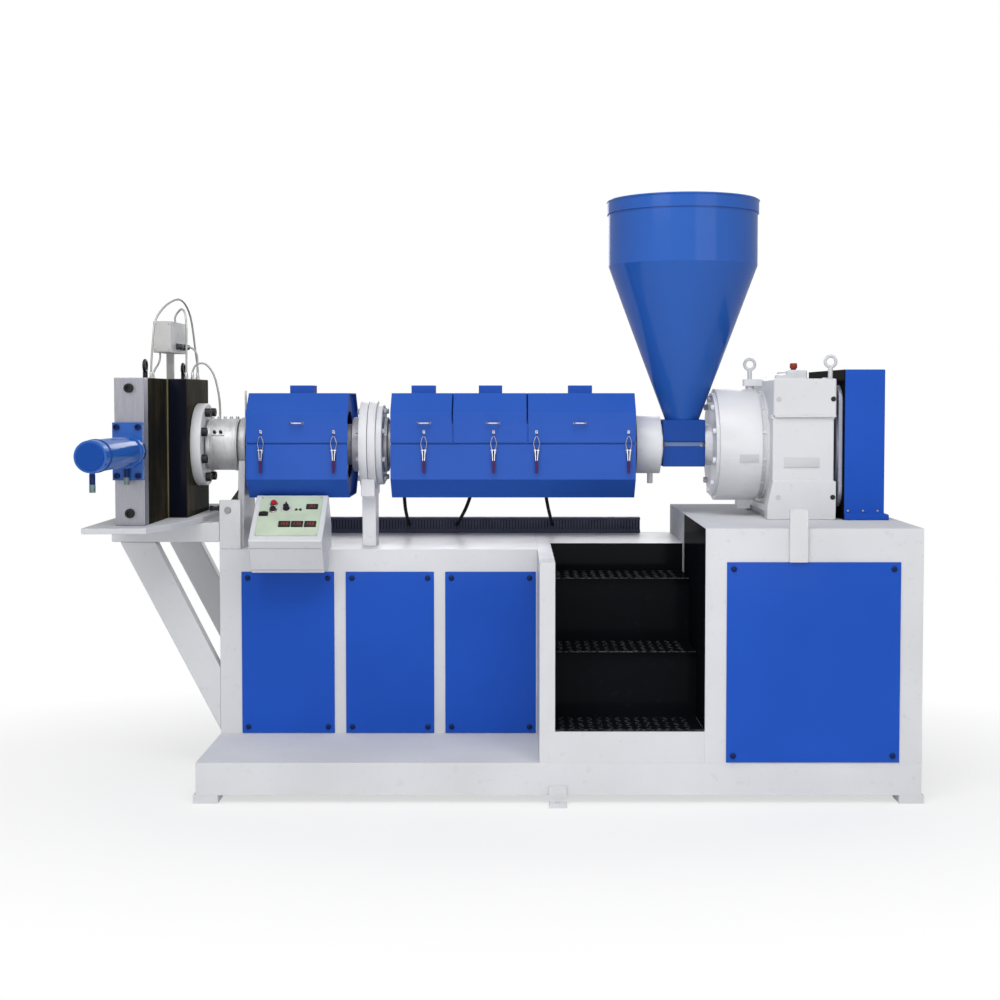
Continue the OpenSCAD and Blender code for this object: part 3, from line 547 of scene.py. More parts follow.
def add_cord(name, points, radius, material, replaced):
    """Free cord with both ends in the machine: one open curve, as long as it is drawn."""
    route = smooth_route(points, max(3, round(24 / len(points))))
    curve = bpy.data.curves.new(name, "CURVE")
    curve.dimensions = "3D"
    curve.bevel_depth = radius
    curve.bevel_resolution = 3
    curve.use_fill_caps = True
    line = curve.splines.new("POLY")
    line.points.add(len(route) - 1)
    for point, place in zip(line.points, route):
        point.co = (*place, 1)
    curve.materials.append(material)
    piece = bpy.data.objects.new(name, curve)
    scene.collection.objects.link(piece)
    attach(piece, MACHINE)
    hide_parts(replaced)


def add_cords():
    for k, points in enumerate(CONDUITS, 1):
        route = [changer_edge + MM * Vector(point) for point in points]
        add_cord(f"conduit_{k}", route, CONDUIT_R, conduit_braid, "conduits")
    tray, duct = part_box("cover_tray_2"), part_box("cable_duct")
    start_y, top_z = AXIS.y + 0.060, tray[0].z
    reach, drop = duct[0].y - start_y, duct[0].z + 0.036 - top_z
    for k, (share, drift) in enumerate(LEADS, 1):
        x = tray[0].x + share * (tray[1].x - tray[0].x)
        route = [(x + a * drift * MM, start_y + b * reach, top_z + c * drop) for a, b, c in LEAD_PATH]
        add_cord(f"heater_lead_{k}", route, LEAD_R, cable_rubber, "heater_leads")


# Detail pieces


def add_panel_bolts():
    """Domed screws in the corners of the sheet panels."""
    inset = 0.024
    for node, face, axis in (("front_panels", 0, FRONT), ("rear_panels", 1, BACK)):
        piece = Piece(node + "_bolts", bolt_blue, "blue_paint")
        for box in solids(node):
            for x in (box[0].x + inset, box[1].x - inset):
                for z in (box[0].z + inset, box[1].z - inset):
                    button_head(piece, (x, box[face].y, z), axis, 0.0105)
        piece.done()


def add_changer_details():
    """Screws of the screen changer, its cylinder and the inlet flange."""
    front, rear = solids("changer_end_plates")
    column = middle(front).x
    screws = Piece("changer_screws", black_oxide, "dark_steel")
    for (low, high), face, axis in ((front, front[0].y, FRONT), (rear, rear[1].y, BACK)):
        for z in (low.z + 0.045, high.z - 0.037):
            socket_head(screws, (column, face, z), axis, 0.0165, 0.016)
    for place in bolt_circle(on_axis(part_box("inlet_flange")[1].x), 0.135, 8, 22.5):
        socket_head(screws, place, RIGHT, 0.017, 0.02)
    screws.done()

    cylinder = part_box("hydraulic_cylinder")[0]
    cylinder_z = AXIS.z - 0.006
    flange_y = front[0].y - 0.030
    corners = Piece("cylinder_screws", bolt_blue, "blue_paint")
    for x in (-0.038, 0.038):
        for z in (-0.086, 0.086):
            socket_head(corners, (column + x, flange_y, cylinder_z + z), FRONT, 0.011, 0.011)
    corners.done()

    oil = Piece("oil_fittings", oil_teal, "barrel_steel")
    sleeves = Piece("oil_sleeves", bolt_blue, "blue_paint")
    for y in (cylinder.y + 0.024, flange_y - 0.015):
        base = (column, y, cylinder.z)
        oil.stub(base, UP, (0.0095, 0), (0.0102, 0.002), (0.0102, 0.022), (0.0098, 0.026))
        sleeves.stub(base, UP, (0.0098, 0.026), (0.0098, 0.056), (0.0094, 0.060))
    oil.done()
    sleeves.done()

    # The cylinder's end face in the darker blue: painted shade
    end = Piece("cylinder_cap", painted_shade_blue, "blue_paint")
    place = (column, cylinder.y, cylinder_z)
    end.stub(place, FRONT, (0.046, -0.002), (0.046, 0.002), (0.044, 0.0035), sides=48)
    end.turned(place, BACK, [(0.050, 0.052), (0.0555, 0.054), (0.0555, 0.066), (0.050, 0.068)], sides=48)
    end.done()

    low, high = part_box("changer_inlet_block")
    faces = Piece("block_faces", block_navy, "dark_steel")
    for y in (low.y - 0.001, high.y - 0.002):
        faces.plate((low.x + 0.002, y, low.z + 0.003), (high.x - 0.003, y + 0.003, high.z - 0.003), 0.0008)
    faces.done()

    # Olive strips on the housing's right face, at the inlet block's front and back: a painted highlight on
    # those corners
    edge_highlight = Piece("changer_edge_highlights", painted_highlight_olive, "dark_steel")
    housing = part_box("changer_housing")
    for y in (low.y - 0.005, high.y + 0.005):
        edge_highlight.plate((housing[1].x - 0.001, y - 0.005, housing[0].z + 0.002),
                     (housing[1].x + 0.004, y + 0.005, housing[1].z - 0.002), 0.001)
    edge_highlight.done()


def add_barrel_details():
    """Ring, hubs and bolts of the barrel's flanges; clamps and terminals of the adapter's heater band."""
    low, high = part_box("barrel_flanges")
    ring_t, bore = 0.026, 0.07
    bolts = Piece("flange_bolts", pad_grey, "white_paint")
    for place in bolt_circle(on_axis(low.x), 0.140, 8, 22.5):
        hex_bolt(bolts, place, LEFT, 0.011, 0.012)
        hex_bolt(bolts, place + Vector((high.x - low.x + ring_t, 0, 0)), RIGHT, 0.010, 0.011)
    bolts.done()
    ring = Piece("flange_ring", casting_white, "white_paint")
    ring.turned(on_axis(high.x - 0.001), RIGHT, [
        (bore, 0), (0.153, 0), (0.157, 0.003), (0.157, ring_t - 0.003), (0.153, ring_t), (bore, ring_t)],
        sides=72)
    ring.done()
    hubs = Piece("flange_hubs", band_steel, "barrel_steel")
    for x, axis, long in ((low.x + 0.001, LEFT, 0.034), (high.x + ring_t - 0.002, RIGHT, 0.018)):
        hubs.turned(on_axis(x), axis, [
            (bore, 0), (0.110, 0), (0.106, 0.004), (0.106, long - 0.003), (0.102, long), (bore, long)],
            sides=64)
    hubs.done()

    low, high = solids("heater_bands")[0]
    radius = (high.z - low.z) / 2
    inner, outer = radius - 0.001, radius + 0.0025
    strap = [(inner, 0), (outer, 0.001), (outer, 0.013), (inner, 0.014)]
    clamps = Piece("heater_clamps", band_steel, "band_steel")
    for x in (low.x + 0.004, high.x - 0.018):
        clamps.turned(on_axis(x), RIGHT, strap, sides=64)
    for k in range(5):
        x = low.x + 0.012 + k * (high.x - low.x - 0.024) / 4
        clamps.stub(on_axis(x) + inner * UP, UP, (0.0065, 0), (0.0065, 0.008), (0.005, 0.011), sides=12)
    lean = Matrix.Rotation(math.radians(62), 4, "X")
    lean.translation = on_axis((low.x + high.x) / 2 - 0.012)
    clamps.plate((-0.024, -0.012, radius - 0.002), (0.024, 0.012, radius + 0.004), 0.0015, lean)
    clamps.done()
    posts = Piece("heater_terminals", black_oxide, "dark_steel")
    out = lean.to_3x3() @ UP
    for x in (-0.012, 0.012):
        posts.stub(lean @ Vector((x, 0, radius + 0.004)), out, (0.0065, 0), (0.0065, 0.007), (0.004, 0.008),
                   (0.004, 0.014), sides=12)
    posts.done()


def add_gearbox_details():
    """Ribs, screws, black discs painted as the shade in open holes, blank pads and breather of the gearbox,
    the drive drum and the guard's screws.
    """
    body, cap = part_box("gearbox_body"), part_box("gearbox_cap")
    bell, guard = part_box("gearbox_bell"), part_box("belt_guard")
    bell_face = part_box("feed_throat")[1].x + 0.028
    ribs = Piece("bell_ribs", casting_white, "white_paint")
    for k in range(12):
        turn = Matrix.Translation(on_axis(cap[0].x)) @ Matrix.Rotation(math.radians(15 + 30 * k), 4, "X")
        ribs.plate((-0.029, -0.006, 0.170), (0.0, 0.006, 0.204), 0.003, turn)
    ribs.turned(on_axis(cap[0].x - 0.009), RIGHT, [
        (0.175, 0), (0.207, 0), (0.209, 0.002), (0.209, 0.009), (0.175, 0.009)], sides=64)
    ribs.turned(on_axis(bell_face + 0.012), RIGHT, [
        (0.21, 0.0), (0.2128, 0.003), (0.2128, 0.016), (0.2118, 0.020)], sides=96)
    ribs.done()
    heads = Piece("bell_screws", casting_white, "white_paint")
    for place in bolt_circle(on_axis(bell_face), 0.178, 10, 18):
        socket_head(heads, place, LEFT, 0.012, 0.012)
    heads.done()

    right, left = body[1].x - 0.013, cap[0].x + 0.020
    # The black heads on the right, 2 mm tall, stand for the dark of open holes: painted shade
    black = Piece("gearbox_hole_shades", black_oxide, "dark_steel")
    grey = Piece("gearbox_plugs", pad_grey, "white_paint")
    for z in (cap[0].z + 0.066, body[0].z + 0.085):
        for y, axis in ((cap[0].y, FRONT), (cap[1].y, BACK)):
            socket_head(black, (right, y, z), axis, 0.0095, 0.002)
            socket_head(grey, (left, y, z), axis, 0.0095, 0.0025)
    black.done()
    seams = Piece("gearbox_seams", white_paint, "white_paint")
    x, y, z = cap[0]
    seams.plate((x + 0.006, y - 0.0025, z - 0.002), (cap[1].x - 0.002, y + 0.004, z + 0.005), 0.001)
    seams.plate((x - 0.004, y + 0.012, z - 0.009), (cap[1].x - 0.004, cap[1].y - 0.012, z + 0.006), 0.002)
    seams.done()
    middle_x, pad_y, pad_t = middle(body).x, body[0].y + 0.0045, 0.004
    for left, right, under, over, edge in ((-0.066, 0.066, 1.168, 1.206, 0.0018),
                                           (-0.028, 0.020, 1.112, 1.118, 0.0015)):
        grey.plate((middle_x + left, pad_y, under), (middle_x + right, pad_y + pad_t, over), edge)
    tilt = Matrix.Translation(on_axis(bell[0].x + 0.149)) @ Matrix.Rotation(math.radians(12), 4, "X")
    reach = AXIS.y - bell[0].y
    grey.plate((-0.036, -reach - 0.003, -0.015), (0.036, -reach + 0.006, 0.015), 0.0015, tilt)
    grey.done()

    drum = Piece("drive_drum", drive_grey, "ground_steel")
    drum.stub(on_axis(body[1].x + 0.003), RIGHT, (0.256, 0), (0.261, 0.004), (0.261, 0.009), (0.257, 0.0105),
              (0.257, 0.0135), (0.261, 0.015), (0.261, 0.020), (0.258, 0.023), sides=96)
    drum.done()
    breather = Piece("breather", breather_red, "blue_paint")
    breather.stub((cap[0].x + 0.125, AXIS.y, cap[1].z), UP, (0.010, -0.002), (0.010, 0.006), (0.0135, 0.008),
                  (0.0145, 0.012), (0.0145, 0.024), (0.012, 0.028), sides=20)
    breather.done()
    dots = Piece("guard_screws", steel_grey, "barrel_steel")
    size, dot_z = guard[1] - guard[0], guard[0].z + 0.033
    for share in (0.09, 0.43, 0.76):
        x = guard[0].x + share * size.x
        button_head(dots, (x, cap[0].y, dot_z), FRONT, 0.005)
        button_head(dots, (x, guard[1].y - 0.015, dot_z), BACK, 0.005)
    for share in (0.1, 0.37, 0.64, 0.9):
        button_head(dots, (guard[1].x - 0.015, guard[0].y + share * size.y, dot_z), RIGHT, 0.005)
    dots.done()


def add_lid_fittings():
    """Bow handles and latch keepers, which ride on their lids."""
    bend, widest_keeper = 0.009, 0.04
    for k in range(1, 5):
        node = f"lid_{k}_handle"
        piece = Piece(f"lid_{k}_fittings", chrome, "chrome", f"lid_{k}_body")
        for low, high in solids(node):
            front = high.y
            if high.x - low.x > widest_keeper:
                r = (high.z - low.z) / 2
                left, right, out, z = low.x + r, high.x - r, low.y + r, low.z + r
                half = [(0, front), (0, out + bend), (0.3 * bend, out + 0.3 * bend), (bend, out)]
                bow = [(left + x, y, z) for x, y in half] + [(right - x, y, z) for x, y in reversed(half)]
                piece.rod(bow, 0.9 * r, 12)
                for x in (left, right):
                    piece.stub((x, front, z), FRONT, (0.0052, 0), (0.0052, 0.001), (0.0042, 0.002))
            else:
                x, z = (low.x + high.x) / 2, low.z
                piece.plate((x - 0.005, front - 0.002, z), (x + 0.005, front, z + 0.014), 0.0006)
                piece.plate((x - 0.004, low.y + 0.001, z), (x + 0.004, front, z + 0.003), 0.0008)
                piece.plate((x - 0.004, low.y + 0.001, z), (x + 0.004, low.y + 0.0035, z + 0.007), 0.0008)
                button_head(piece, (x, front - 0.002, z + 0.010), FRONT, 0.0025)
        piece.done(node)


def add_cover_seams():
    """Strips behind the joint of lids and trays, and folded edges in the gaps between the lids."""
    wall, rise = 0.005, 0.009
    split = AXIS.z + rise
    strips = Piece("cover_seams", painted_sheen_blue, "blue_paint")
    for k in (1, 2):
        low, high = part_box(f"cover_tray_{k}")
        inner = low.y + wall
        for end, near, under, over in ((0.02, -0.001, -0.030, -0.012), (0.002, 0.002, -0.013, 0.012)):
            strips.plate((low.x + end, inner + near, split + under),
                         (high.x - end, inner + 0.004, split + over))
    strips.done()
    for k in (2, 3):
        low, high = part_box(f"lid_{k}")
        fold = Piece(f"lid_{k}_fold", painted_sheen_blue, "blue_paint", f"lid_{k}_body")
        outline = []
        for radius in (AXIS.y - low.y - 0.0005, AXIS.y - low.y - 0.004):
            corner = radius * math.tan(math.pi / 8)
            side = [(-radius, rise), (-radius, corner), (-corner, radius), (corner, radius), (radius, corner),
                    (radius, rise)]
            outline += side[::-1] if outline else side
        fold.prism([on_axis(high.x - 0.001) + Vector((0, y, z)) for y, z in outline], (0.0055, 0, 0))
        fold.done()


def add_latches():
    """Toggle latches on the trays: base plate, pointed wire loop and tapered lever with a plastic grip."""
    metal = Piece("latch_metal", chrome, "chrome")
    grips = Piece("latch_grips", grip_plum, "dark_steel")
    bases = Piece("latch_bases", bolt_blue, "blue_paint")
    for low, high in solids("latches"):
        x, front = (low.x + high.x) / 2, high.y
        pivot, neck = high.z - 0.055, low.z + 0.048
        bases.plate((x - 0.008, front - 0.002, neck), (x + 0.008, front, pivot + 0.006), 0.0007)
        for side in (x - 0.008, x + 0.006):
            metal.plate((side, front - 0.010, pivot - 0.014), (side + 0.002, front, pivot + 0.006), 0.0006)
        metal.stub((low.x, front - 0.008, pivot), RIGHT, (0.0025, 0), (0.0025, high.x - low.x), sides=10)
        top, foot = pivot + 0.004, neck - 0.002
        lever = ((0.0066, top), (0.0036, top), (0.0018, foot), (0.0046, foot))
        for side in (-1, 1):
            metal.prism([(x + side * half, low.y + 0.001, z) for half, z in lever], (0, 0.004, 0))
        y = front - 0.0085
        loop = [(0.0055, pivot), (0.0090, pivot + 0.012), (0.0112, pivot + 0.023), (0.0098, pivot + 0.034),
                (0.0060, pivot + 0.046), (0.0018, high.z - 0.002)]
        metal.rod([(x - half, y, z) for half, z in loop] + [(x + half, y, z) for half, z in reversed(loop)],
                  0.0017, 8)
        grip = ((-0.0060, neck), (0.0060, neck), (0.0052, low.z + 0.007), (0.0035, low.z), (-0.0035, low.z),
                (-0.0052, low.z + 0.007))
        grips.prism([(x + half, low.y, z) for half, z in grip], (0, 0.008, 0))
    metal.done("latches")
    grips.done()
    bases.done()


def add_duct():
    """Slotted wiring duct with its snap-on cover, and inside a black liner with ribs: partly the wiring,
    partly painted shade that shows between its fingers.
    """
    low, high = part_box("cable_duct")
    finger, pitch, wall, strip, cover, rib_count = 0.008, 0.0125, 0.002, 0.014, 0.011, 11
    duct = Piece("slotted_duct", duct_plastic, "duct_plastic")
    for y in (low.y, high.y - wall):
        duct.plate((low.x, y, low.z), (high.x, y + wall, low.z + strip))
        x = low.x
        while x + finger < high.x:
            duct.plate((x, y, low.z + strip), (x + finger, y + wall, high.z - 0.004))
            x += pitch
    duct.plate(low, (high.x, high.y, low.z + wall))
    duct.plate((low.x, low.y - 0.0012, high.z - cover), (high.x, high.y + 0.0012, high.z), 0.002)
    duct.done("cable_duct")
    # Black liner and ribs: the wiring in the duct, painted black as shade between the fingers
    shade_liner = Piece("duct_shade_liner", black_plastic, "duct_plastic")
    shade_liner.plate(low + Vector((0.001, 0.0035, 0.001)), high - Vector((0.001, 0.0035, 0.006)), 0.001)
    for k in range(1, rib_count + 1):
        x = low.x + k * (high.x - low.x) / (rib_count + 1)
        shade_liner.plate((x - 0.004, low.y + 0.0025, low.z + 0.001), (x + 0.004, high.y - 0.0025, high.z - 0.008))
    shade_liner.done()


def add_treads():
    """Raised lozenges of the chequer plate and the front edges, with pale specks that are partly wear and
    partly painted highlight.
    """
    marks = Piece("tread_marks", wear_and_glint_black, "black_paint")
    edges = Piece("tread_edges", wear_and_glint_black, "black_paint")
    pitch, long, wide, rise, border, first = 0.034, 0.0145, 0.0048, 0.0018, 0.012, 0.023
    # Faces of one lozenge: four corners of its foot, then the two ends of its ridge
    faces = ((0, 1, 4), (1, 5, 4), (1, 2, 5), (2, 3, 5), (3, 4, 5), (3, 0, 4), (0, 1, 2, 3))
    for low, high in solids("stair_treads"):
        for i in range(int((high.x - low.x - border) / pitch)):
            for j in range(int((high.y - low.y - border) / pitch)):
                centre = Vector((low.x + first + pitch * i, low.y + first + pitch * j, high.z))
                angle = math.radians(45 if (i + j) % 2 else -45)
                along = long * Vector((math.cos(angle), math.sin(angle), 0))
                across = wide * Vector((-math.sin(angle), math.cos(angle), 0))
                top = rise * UP
                points = [marks.mesh.verts.new(centre + spot) for spot in (
                    along, across, -along, -across, 0.6 * along + top, -0.6 * along + top)]
                for face in faces:
                    marks.mesh.faces.new([points[k] for k in face])
        y, z = low.y + 0.0012, high.z - 0.001
        edges.rod([(low.x + 0.003, y, z), (high.x - 0.003, y, z)], 0.0022, 8)
    marks.done()
    edges.done()


# Bars that a figure of the meters lights, out of seven
FIGURES = {"0": "abcdef", "1": "bc", "5": "acdfg", "6": "acdefg", "7": "abc", "8": "abcdefg"}


def add_figure(piece, turn, x, y, tall, figure):
    """One seven-bar figure with its lower left corner at x, y."""
    wide, bar, half, thick = 0.5 * tall, 0.13 * tall, tall / 2, 0.0004
    spots = {"a": (0, tall - bar, wide, tall), "g": (0, half - bar / 2, wide, half + bar / 2),
             "d": (0, 0, wide, bar), "f": (0, half, bar, tall), "b": (wide - bar, half, wide, tall),
             "e": (0, 0, bar, half), "c": (wide - bar, 0, wide, half)}
    for name in FIGURES[figure]:
        left, low, right, high = spots[name]
        piece.plate((x + left, y + low, 0), (x + right, y + high, thick), 0, turn)


def add_desk():
    """Controls on the desk's sloped fascia: meters, buttons, selector knob, rocker and lamps."""
    low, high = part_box("control_fascia")
    sheet = 0.003
    rough = Vector((0, high.y - low.y, high.z - low.z)).normalized()
    slope = Vector((0, high.y - low.y - sheet * rough.z, high.z - low.z - sheet * rough.y))
    wide, tall = high.x - low.x + 0.018, slope.length
    slope.normalize()
    out = Vector((0, -slope.z, slope.y))
    start = Vector((low.x, low.y, low.z + sheet * slope.y))
    turn = Matrix.Translation(start) @ Matrix((RIGHT, slope, out)).transposed().to_4x4()

    def spot(s, t):
        """Place on the fascia, as shares of its width and height."""
        return Vector((s * wide, t * tall, 0))

    def slab(piece, centre, low, high, edge):
        """Plate on the fascia, between two corners measured from its centre."""
        piece.plate(centre + Vector(low), centre + Vector(high), edge, turn)

    print_sheet = Piece("fascia_sheet", fascia_sheet, "fascia")
    edge, lip, foot = 0.003, 0.0008, 0.04 * tall
    print_sheet.plate((0, foot, -sheet), (wide, tall, 0), 0.0006, turn)
    for x in (0, wide - edge):
        print_sheet.plate((x, foot, 0), (x + edge, tall, lip), 0, turn)
    for y in (foot, tall - edge):
        print_sheet.plate((edge, y, 0), (wide - edge, y + edge, lip), 0, turn)
    print_sheet.done("control_fascia")
    black = Piece("desk_controls", black_plastic, "dark_steel")
    glass = Piece("meter_windows", window_brown, "dark_steel")
    figures = Piece("meter_figures", figure_red, "fascia")
    metal = Piece("desk_rings", zinc, "chrome")
    half_w, frame_w, window_z = 0.022, 0.003, 0.0056
    for s, t, h, reading in ((0.848, 0.74, 0.026, "165"), (0.447, 0.31, 0.030, "180"),
                             (0.65, 0.31, 0.030, "175"), (0.86, 0.31, 0.030, "160")):
        centre = spot(s, t)
        x, y = half_w - frame_w, h / 2 - frame_w
        slab(black, centre, (-half_w, -h / 2, -0.001), (half_w, h / 2, 0.005), 0.0012)
        slab(glass, centre, (-x, -y, 0.004), (x, y, window_z), 0.0004)
        size = 0.5 * h
        lift = turn @ Matrix.Translation((0, 0, window_z))
        for k, figure in enumerate(reading):
            add_figure(figures, lift, centre.x + (0.78 * k - 1.1) * size, centre.y - size / 2, size, figure)
    red = Piece("stop_button", red_plastic, "fascia")
    for piece, s, t in ((red, 0.223, 0.81), (black, 0.226, 0.66)):
        base = turn @ spot(s, t)
        metal.stub(base, out, (0.0145, -0.001), (0.0145, 0.003), (0.013, 0.005))
        piece.stub(base, out, (0.0105, 0.004), (0.0115, 0.006), (0.0115, 0.012), (0.0095, 0.0145))
    red.done()
    knob = spot(0.437, 0.69)
    ring = Piece("knob_scale", box_plastic, "box_plastic")
    ring.stub(turn @ knob, out, (0.022, -0.001), (0.022, 0.0015), (0.021, 0.002), sides=40)
    ring.done()
    black.stub(turn @ knob, out, (0.0125, 0.002), (0.0125, 0.006), (0.0105, 0.008), (0.0105, 0.019),
               (0.0095, 0.021))
    slab(black, knob, (-0.003, -0.013, 0.008), (0.003, 0.015, 0.024), 0.0015)
    rocker = spot(0.085, 0.56)
    slab(black, rocker, (-0.017, -0.010, -0.001), (0.017, 0.010, 0.004), 0.001)
    for side in (-1, 1):
        tip = Matrix.Translation(rocker + Vector((side * 0.007, 0, 0.006)))
        lean = Matrix.Rotation(math.radians(9 * side), 4, "Y")
        black.plate((-0.0075, -0.0075, -0.004), (0.0075, 0.0075, 0.003), 0.0012, turn @ tip @ lean)
    for s in (0.60, 0.665):
        base = turn @ spot(s, 0.67)
        metal.stub(base, out, (0.0062, -0.001), (0.0062, 0.002))
        glass.turned(base, out, [(0, 0.002), (0.0045, 0.002), (0.0045, 0.0035), (0.003, 0.005), (0, 0.0055)])
    for s in (0.025, 0.975):
        for t in (0.07, 0.97):
            button_head(metal, turn @ spot(s, t), out, 0.003)
    for piece in (black, glass, figures, metal):
        piece.done()


def add_desk_folds():
    """Two painted shadow lines across the desk's leaning front: thin grey strips at its folds."""
    low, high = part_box("control_box")
    drop, back = 0.127, 0.070
    lean = Matrix.Translation((low.x, low.y, low.z + drop)) @ Matrix.Rotation(math.atan2(back, drop), 4, "X")
    fold = Piece("desk_fold", fold_shadow_grey, "white_paint")
    for fall in (0.034, 0.130):
        fold.plate((0.004, -0.0007, -fall - 0.002), (high.x - low.x - 0.004, 0.002, -fall), 0.0003, lean)
    fold.done()


def add_junction_details():
    """Cover, screws and glands of the junction box, and the ferrules of the conduits."""
    low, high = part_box("junction_box")
    side, bottom = low.x + 0.072, changer_edge.z + 0.104
    front, reach = low.y - 0.006, high.x - side + 0.001
    cover = Piece("junction_cover", box_plastic, "box_plastic")
    cover.plate((low.x + 0.002, front, bottom + 0.002), (side - 0.002, low.y + 0.002, high.z - 0.002), 0.003)
    cover.plate((low.x - 0.001, low.y + 0.004, bottom - 0.0008),
                (side + 0.001, low.y + 0.010, high.z + 0.001), 0.001)
    cover.done()
    screws = Piece("junction_screws", zinc, "chrome")
    for x in (low.x + 0.010, side - 0.010):
        for z in (bottom + 0.011, high.z - 0.011):
            button_head(screws, (x, front, z), FRONT, 0.0032)
    screws.done()
    glands = Piece("cable_glands", gland_grey, "dark_steel")
    for shift in (0.040, 0.100, 0.160):
        base = (side, AXIS.y + shift, bottom + 0.025)
        glands.stub(base, RIGHT, (0.0125, 0), (0.0125, 0.007), sides=6)
        glands.stub(base, RIGHT, (0.010, 0.007), (0.0105, 0.018), (0.0085, reach))
    glands.done()
    feet = Piece("conduit_ferrules", zinc, "chrome")
    for points in CONDUITS:
        for place in (points[0], points[-1]):
            if place[2] == 0:
                base = changer_edge + MM * Vector(place)
                feet.stub(base, UP, (0.0085, 0), (0.0085, 0.008), sides=6)
                feet.stub(base, UP, (0.0062, 0.008), (0.0062, 0.024), (0.0052, 0.026))
    feet.done()


def add_shelf_details():
    """Jack screw and pin of the shelf bracket, and a black gusset at the barrel support."""
    low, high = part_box("shelf_bracket")
    pin = Piece("bracket_pin", steel_grey, "barrel_steel")
    pin.stub((low.x + 0.033, low.y, high.z - 0.038), FRONT, (0.0125, -0.001), (0.0125, 0.003),
             (0.011, 0.0045))
    pin.done()
    jack = Piece("jack_screw", black_oxide, "dark_steel")
    base = (low.x + 0.002, low.y + 0.026, high.z - 0.033)
    jack.stub(base, LEFT, (0.0078, 0), (0.0078, 0.030))
    jack.stub(base, LEFT, (0.0105, 0.002), (0.0105, 0.012), sides=6)
    jack.stub(base, LEFT, (0.0105, 0.030), (0.0105, 0.041), (0.009, 0.043), sides=6)
    gusset_tip, gusset_foot = 1.079, high.z + 0.001
    jack.prism([(low.x + x, low.y + 0.012, z) for x, z in (
        (0.071, gusset_tip), (0.043, gusset_foot), (0.068, gusset_foot))], (0, 0.010, 0))
    jack.done()


def add_feed_details():
    """Sheet shell and rolled rim of the hopper, the studs of the feed throat and the collar's nipple."""
    low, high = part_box("hopper")
    centre = middle((low, high))
    tall, rim, neck, sheet, band = high.z - low.z, (high.x - low.x) / 2, 0.066, 0.004, 0.050
    wall, fold = rim - 0.005, 0.704 * tall
    shell = Piece("hopper_shell", hopper_blue, "blue_paint")
    shell.turned((centre.x, centre.y, low.z), UP, [
        (neck, 0), (wall, fold), (wall, tall - band), (rim, tall - band), (rim, tall), (wall - sheet, tall),
        (wall - sheet, fold), (neck - sheet, 0), (neck, 0)], sides=192)
    shell.done("hopper", sharp=15)
    bead = Piece("hopper_bead", hopper_blue, "blue_paint")
    bead.turned((centre.x, centre.y, high.z - 0.006), UP, [(rim + out, rise) for out, rise in (
        (-0.008, 0.0), (-0.001, -0.001), (0.0025, 0.002), (0.0025, 0.005), (-0.001, 0.008), (-0.0075, 0.0085),
        (-0.0085, 0.004), (-0.008, 0.0))], sides=96)
    bead.done()
    studs = Piece("throat_studs", zinc, "chrome")
    under, over = solids("feed_throat")
    inset, foot = 0.012, under[1].z
    for x in (over[0].x + inset, over[1].x - inset):
        for y in (over[0].y + inset, over[1].y - inset):
            studs.stub((x, y, foot - 0.002), UP, (0.0055, 0), (0.0055, over[0].z - foot + 0.004), sides=14)
            studs.stub((x, y, foot), UP, (0.0095, 0), (0.0095, 0.007), sides=6)
    studs.done()
    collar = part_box("feed_collar")[0]
    tip = Piece("collar_nipple", steel_grey, "barrel_steel")
    tip.stub((collar.x + 0.059, AXIS.y, collar.z), UP, (0.0082, -0.001), (0.0092, 0.001), (0.0092, 0.009),
             sides=18)
    tip.done()


# Light, floor and background


def add_area(name, place, target, size, watts):
    data = bpy.data.lights.new(name, "AREA")
    data.shape = "RECTANGLE"
    data.size, data.size_y = size
    data.energy = watts
    lamp = bpy.data.objects.new(name, data)
    lamp.location = place
    lamp.rotation_euler = (Vector(target) - Vector(place)).to_track_quat("-Z", "Y").to_euler()
    scene.collection.objects.link(lamp)


def seen_rays(tree):
    """1 for rays that show the background: straight to the camera, in gloss or through glass."""
    path = tree.nodes.new("ShaderNodeLightPath")
    total = path.outputs["Is Camera Ray"]
    for kind in ("Is Glossy Ray", "Is Transmission Ray"):
        add = tree.nodes.new("ShaderNodeMath")
        add.operation = "ADD"
        add.use_clamp = True
        tree.links.new(total, add.inputs[0])
        tree.links.new(path.outputs[kind], add.inputs[1])
        total = add.outputs[0]
    return total


def make_world():
    world = bpy.data.worlds.new("studio")
    scene.world = world
    world.use_nodes = True
    tree = world.node_tree
    light = tree.nodes["Background"]
    light.inputs["Color"].default_value = (0.95, 0.97, 1.0, 1)
    light.inputs["Strength"].default_value = 0.33
    plain = tree.nodes.new("ShaderNodeBackground")
    plain.inputs["Color"].default_value = (1, 1, 1, 1)
    mix = tree.nodes.new("ShaderNodeMixShader")
    tree.links.new(seen_rays(tree), mix.inputs["Fac"])
    tree.links.new(light.outputs[0], mix.inputs[1])
    tree.links.new(plain.outputs[0], mix.inputs[2])
    tree.links.new(mix.outputs[0], tree.nodes["World Output"].inputs["Surface"])


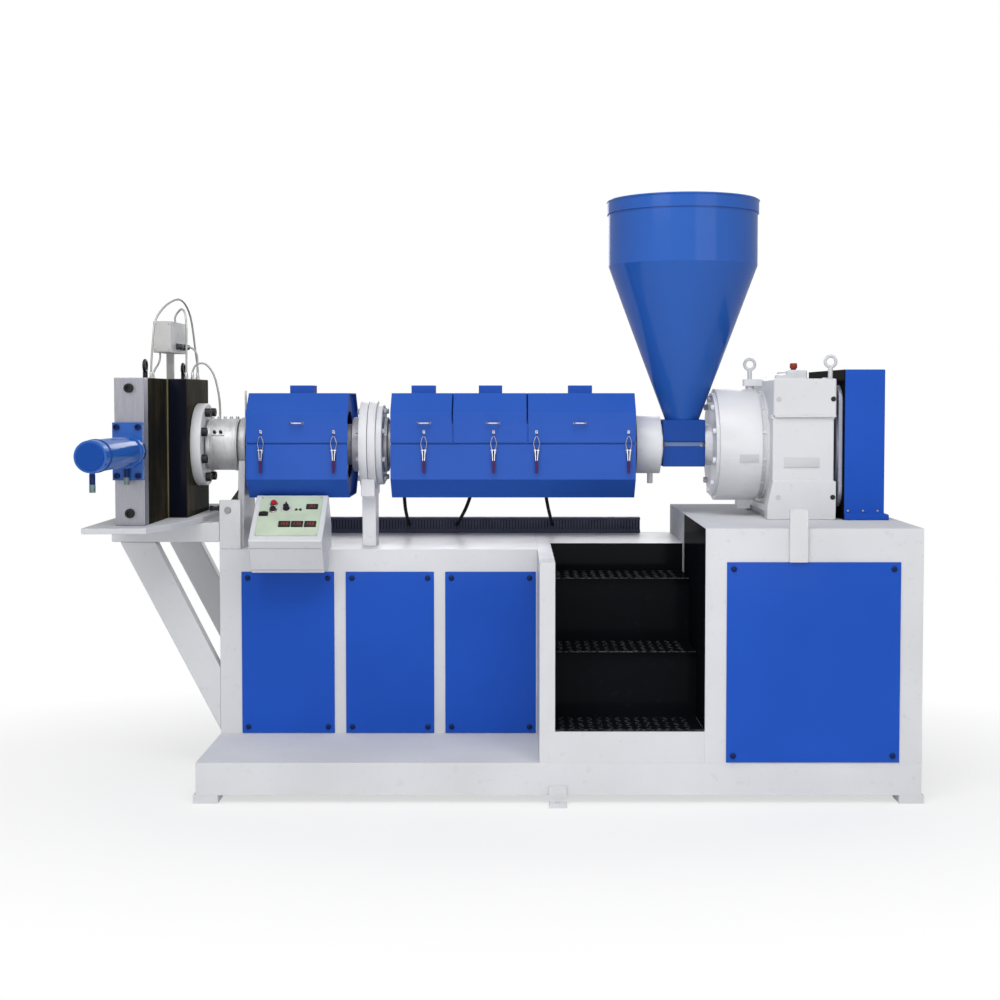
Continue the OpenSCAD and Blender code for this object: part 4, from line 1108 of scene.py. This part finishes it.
def make_floor():
    """White floor: it takes the object's shadow near the object and runs out to plain white."""
    mesh = bpy.data.meshes.new("floor")
    half = 40
    corners = [(-half, -half, 0), (half, -half, 0), (half, half, 0), (-half, half, 0)]
    mesh.from_pydata(corners, [], [(0, 1, 2, 3)])
    floor = bpy.data.objects.new("floor", mesh)
    scene.collection.objects.link(floor)
    finish = Finish("floor_white", specular=0.1)
    finish.colour(finish.ramp(finish.noise(1.5), [(0.3, (0.84, 0.84, 0.84)), (0.7, (0.87, 0.87, 0.87))]))
    finish.roughness(finish.noise(3), 0.7, 0.8)
    tree = finish.tree
    white = finish.new("ShaderNodeEmission", Color=(1, 1, 1, 1), Strength=1)
    distance = tree.nodes.new("ShaderNodeVectorMath")
    distance.operation = "LENGTH"
    finish.link(finish.stretched((1, 1.6, 1)), distance.inputs[0])
    fade = finish.new("ShaderNodeMapRange", From_Min=1.5, From_Max=3.0, To_Min=0.62, To_Max=1)
    finish.link(distance.outputs["Value"], fade.inputs["Value"])
    share = tree.nodes.new("ShaderNodeMath")
    share.operation = "MULTIPLY"
    finish.link(fade.outputs["Result"], share.inputs[0])
    finish.link(seen_rays(tree), share.inputs[1])
    mix = tree.nodes.new("ShaderNodeMixShader")
    finish.link(share.outputs[0], mix.inputs["Fac"])
    finish.link(finish.shader.outputs[0], mix.inputs[1])
    finish.link(white.outputs[0], mix.inputs[2])
    finish.link(mix.outputs[0], tree.nodes["Material Output"].inputs["Surface"])
    mesh.materials.append(finish.material)


make_camera()
add_cords()
make_world()
make_floor()
dress_nodes()
add_panel_bolts()
add_changer_details()
add_barrel_details()
add_gearbox_details()
add_lid_fittings()
add_cover_seams()
add_latches()
add_duct()
add_treads()
add_desk()
add_desk_folds()
add_junction_details()
add_shelf_details()
add_feed_details()
add_area("key", (-3.4, -5.0, 4.2), (0, 0.1, 1.0), (3.4, 2.6), 82)
add_area("fill", (3.6, -5.2, 2.4), (0.3, 0.1, 0.8), (3.4, 2.6), 34)
add_area("low", (0.2, -5.6, 0.7), (0, 0, 1.1), (4.0, 1.2), 42)
add_area("top", (0, -3.0, 5.0), (0, -0.2, 0.4), (5.0, 2.6), 150)
add_area("back", (0.4, 5.2, 3.0), (0, 0.1, 1.0), (4.0, 2.4), 80)

scene.view_settings.view_transform = "Standard"
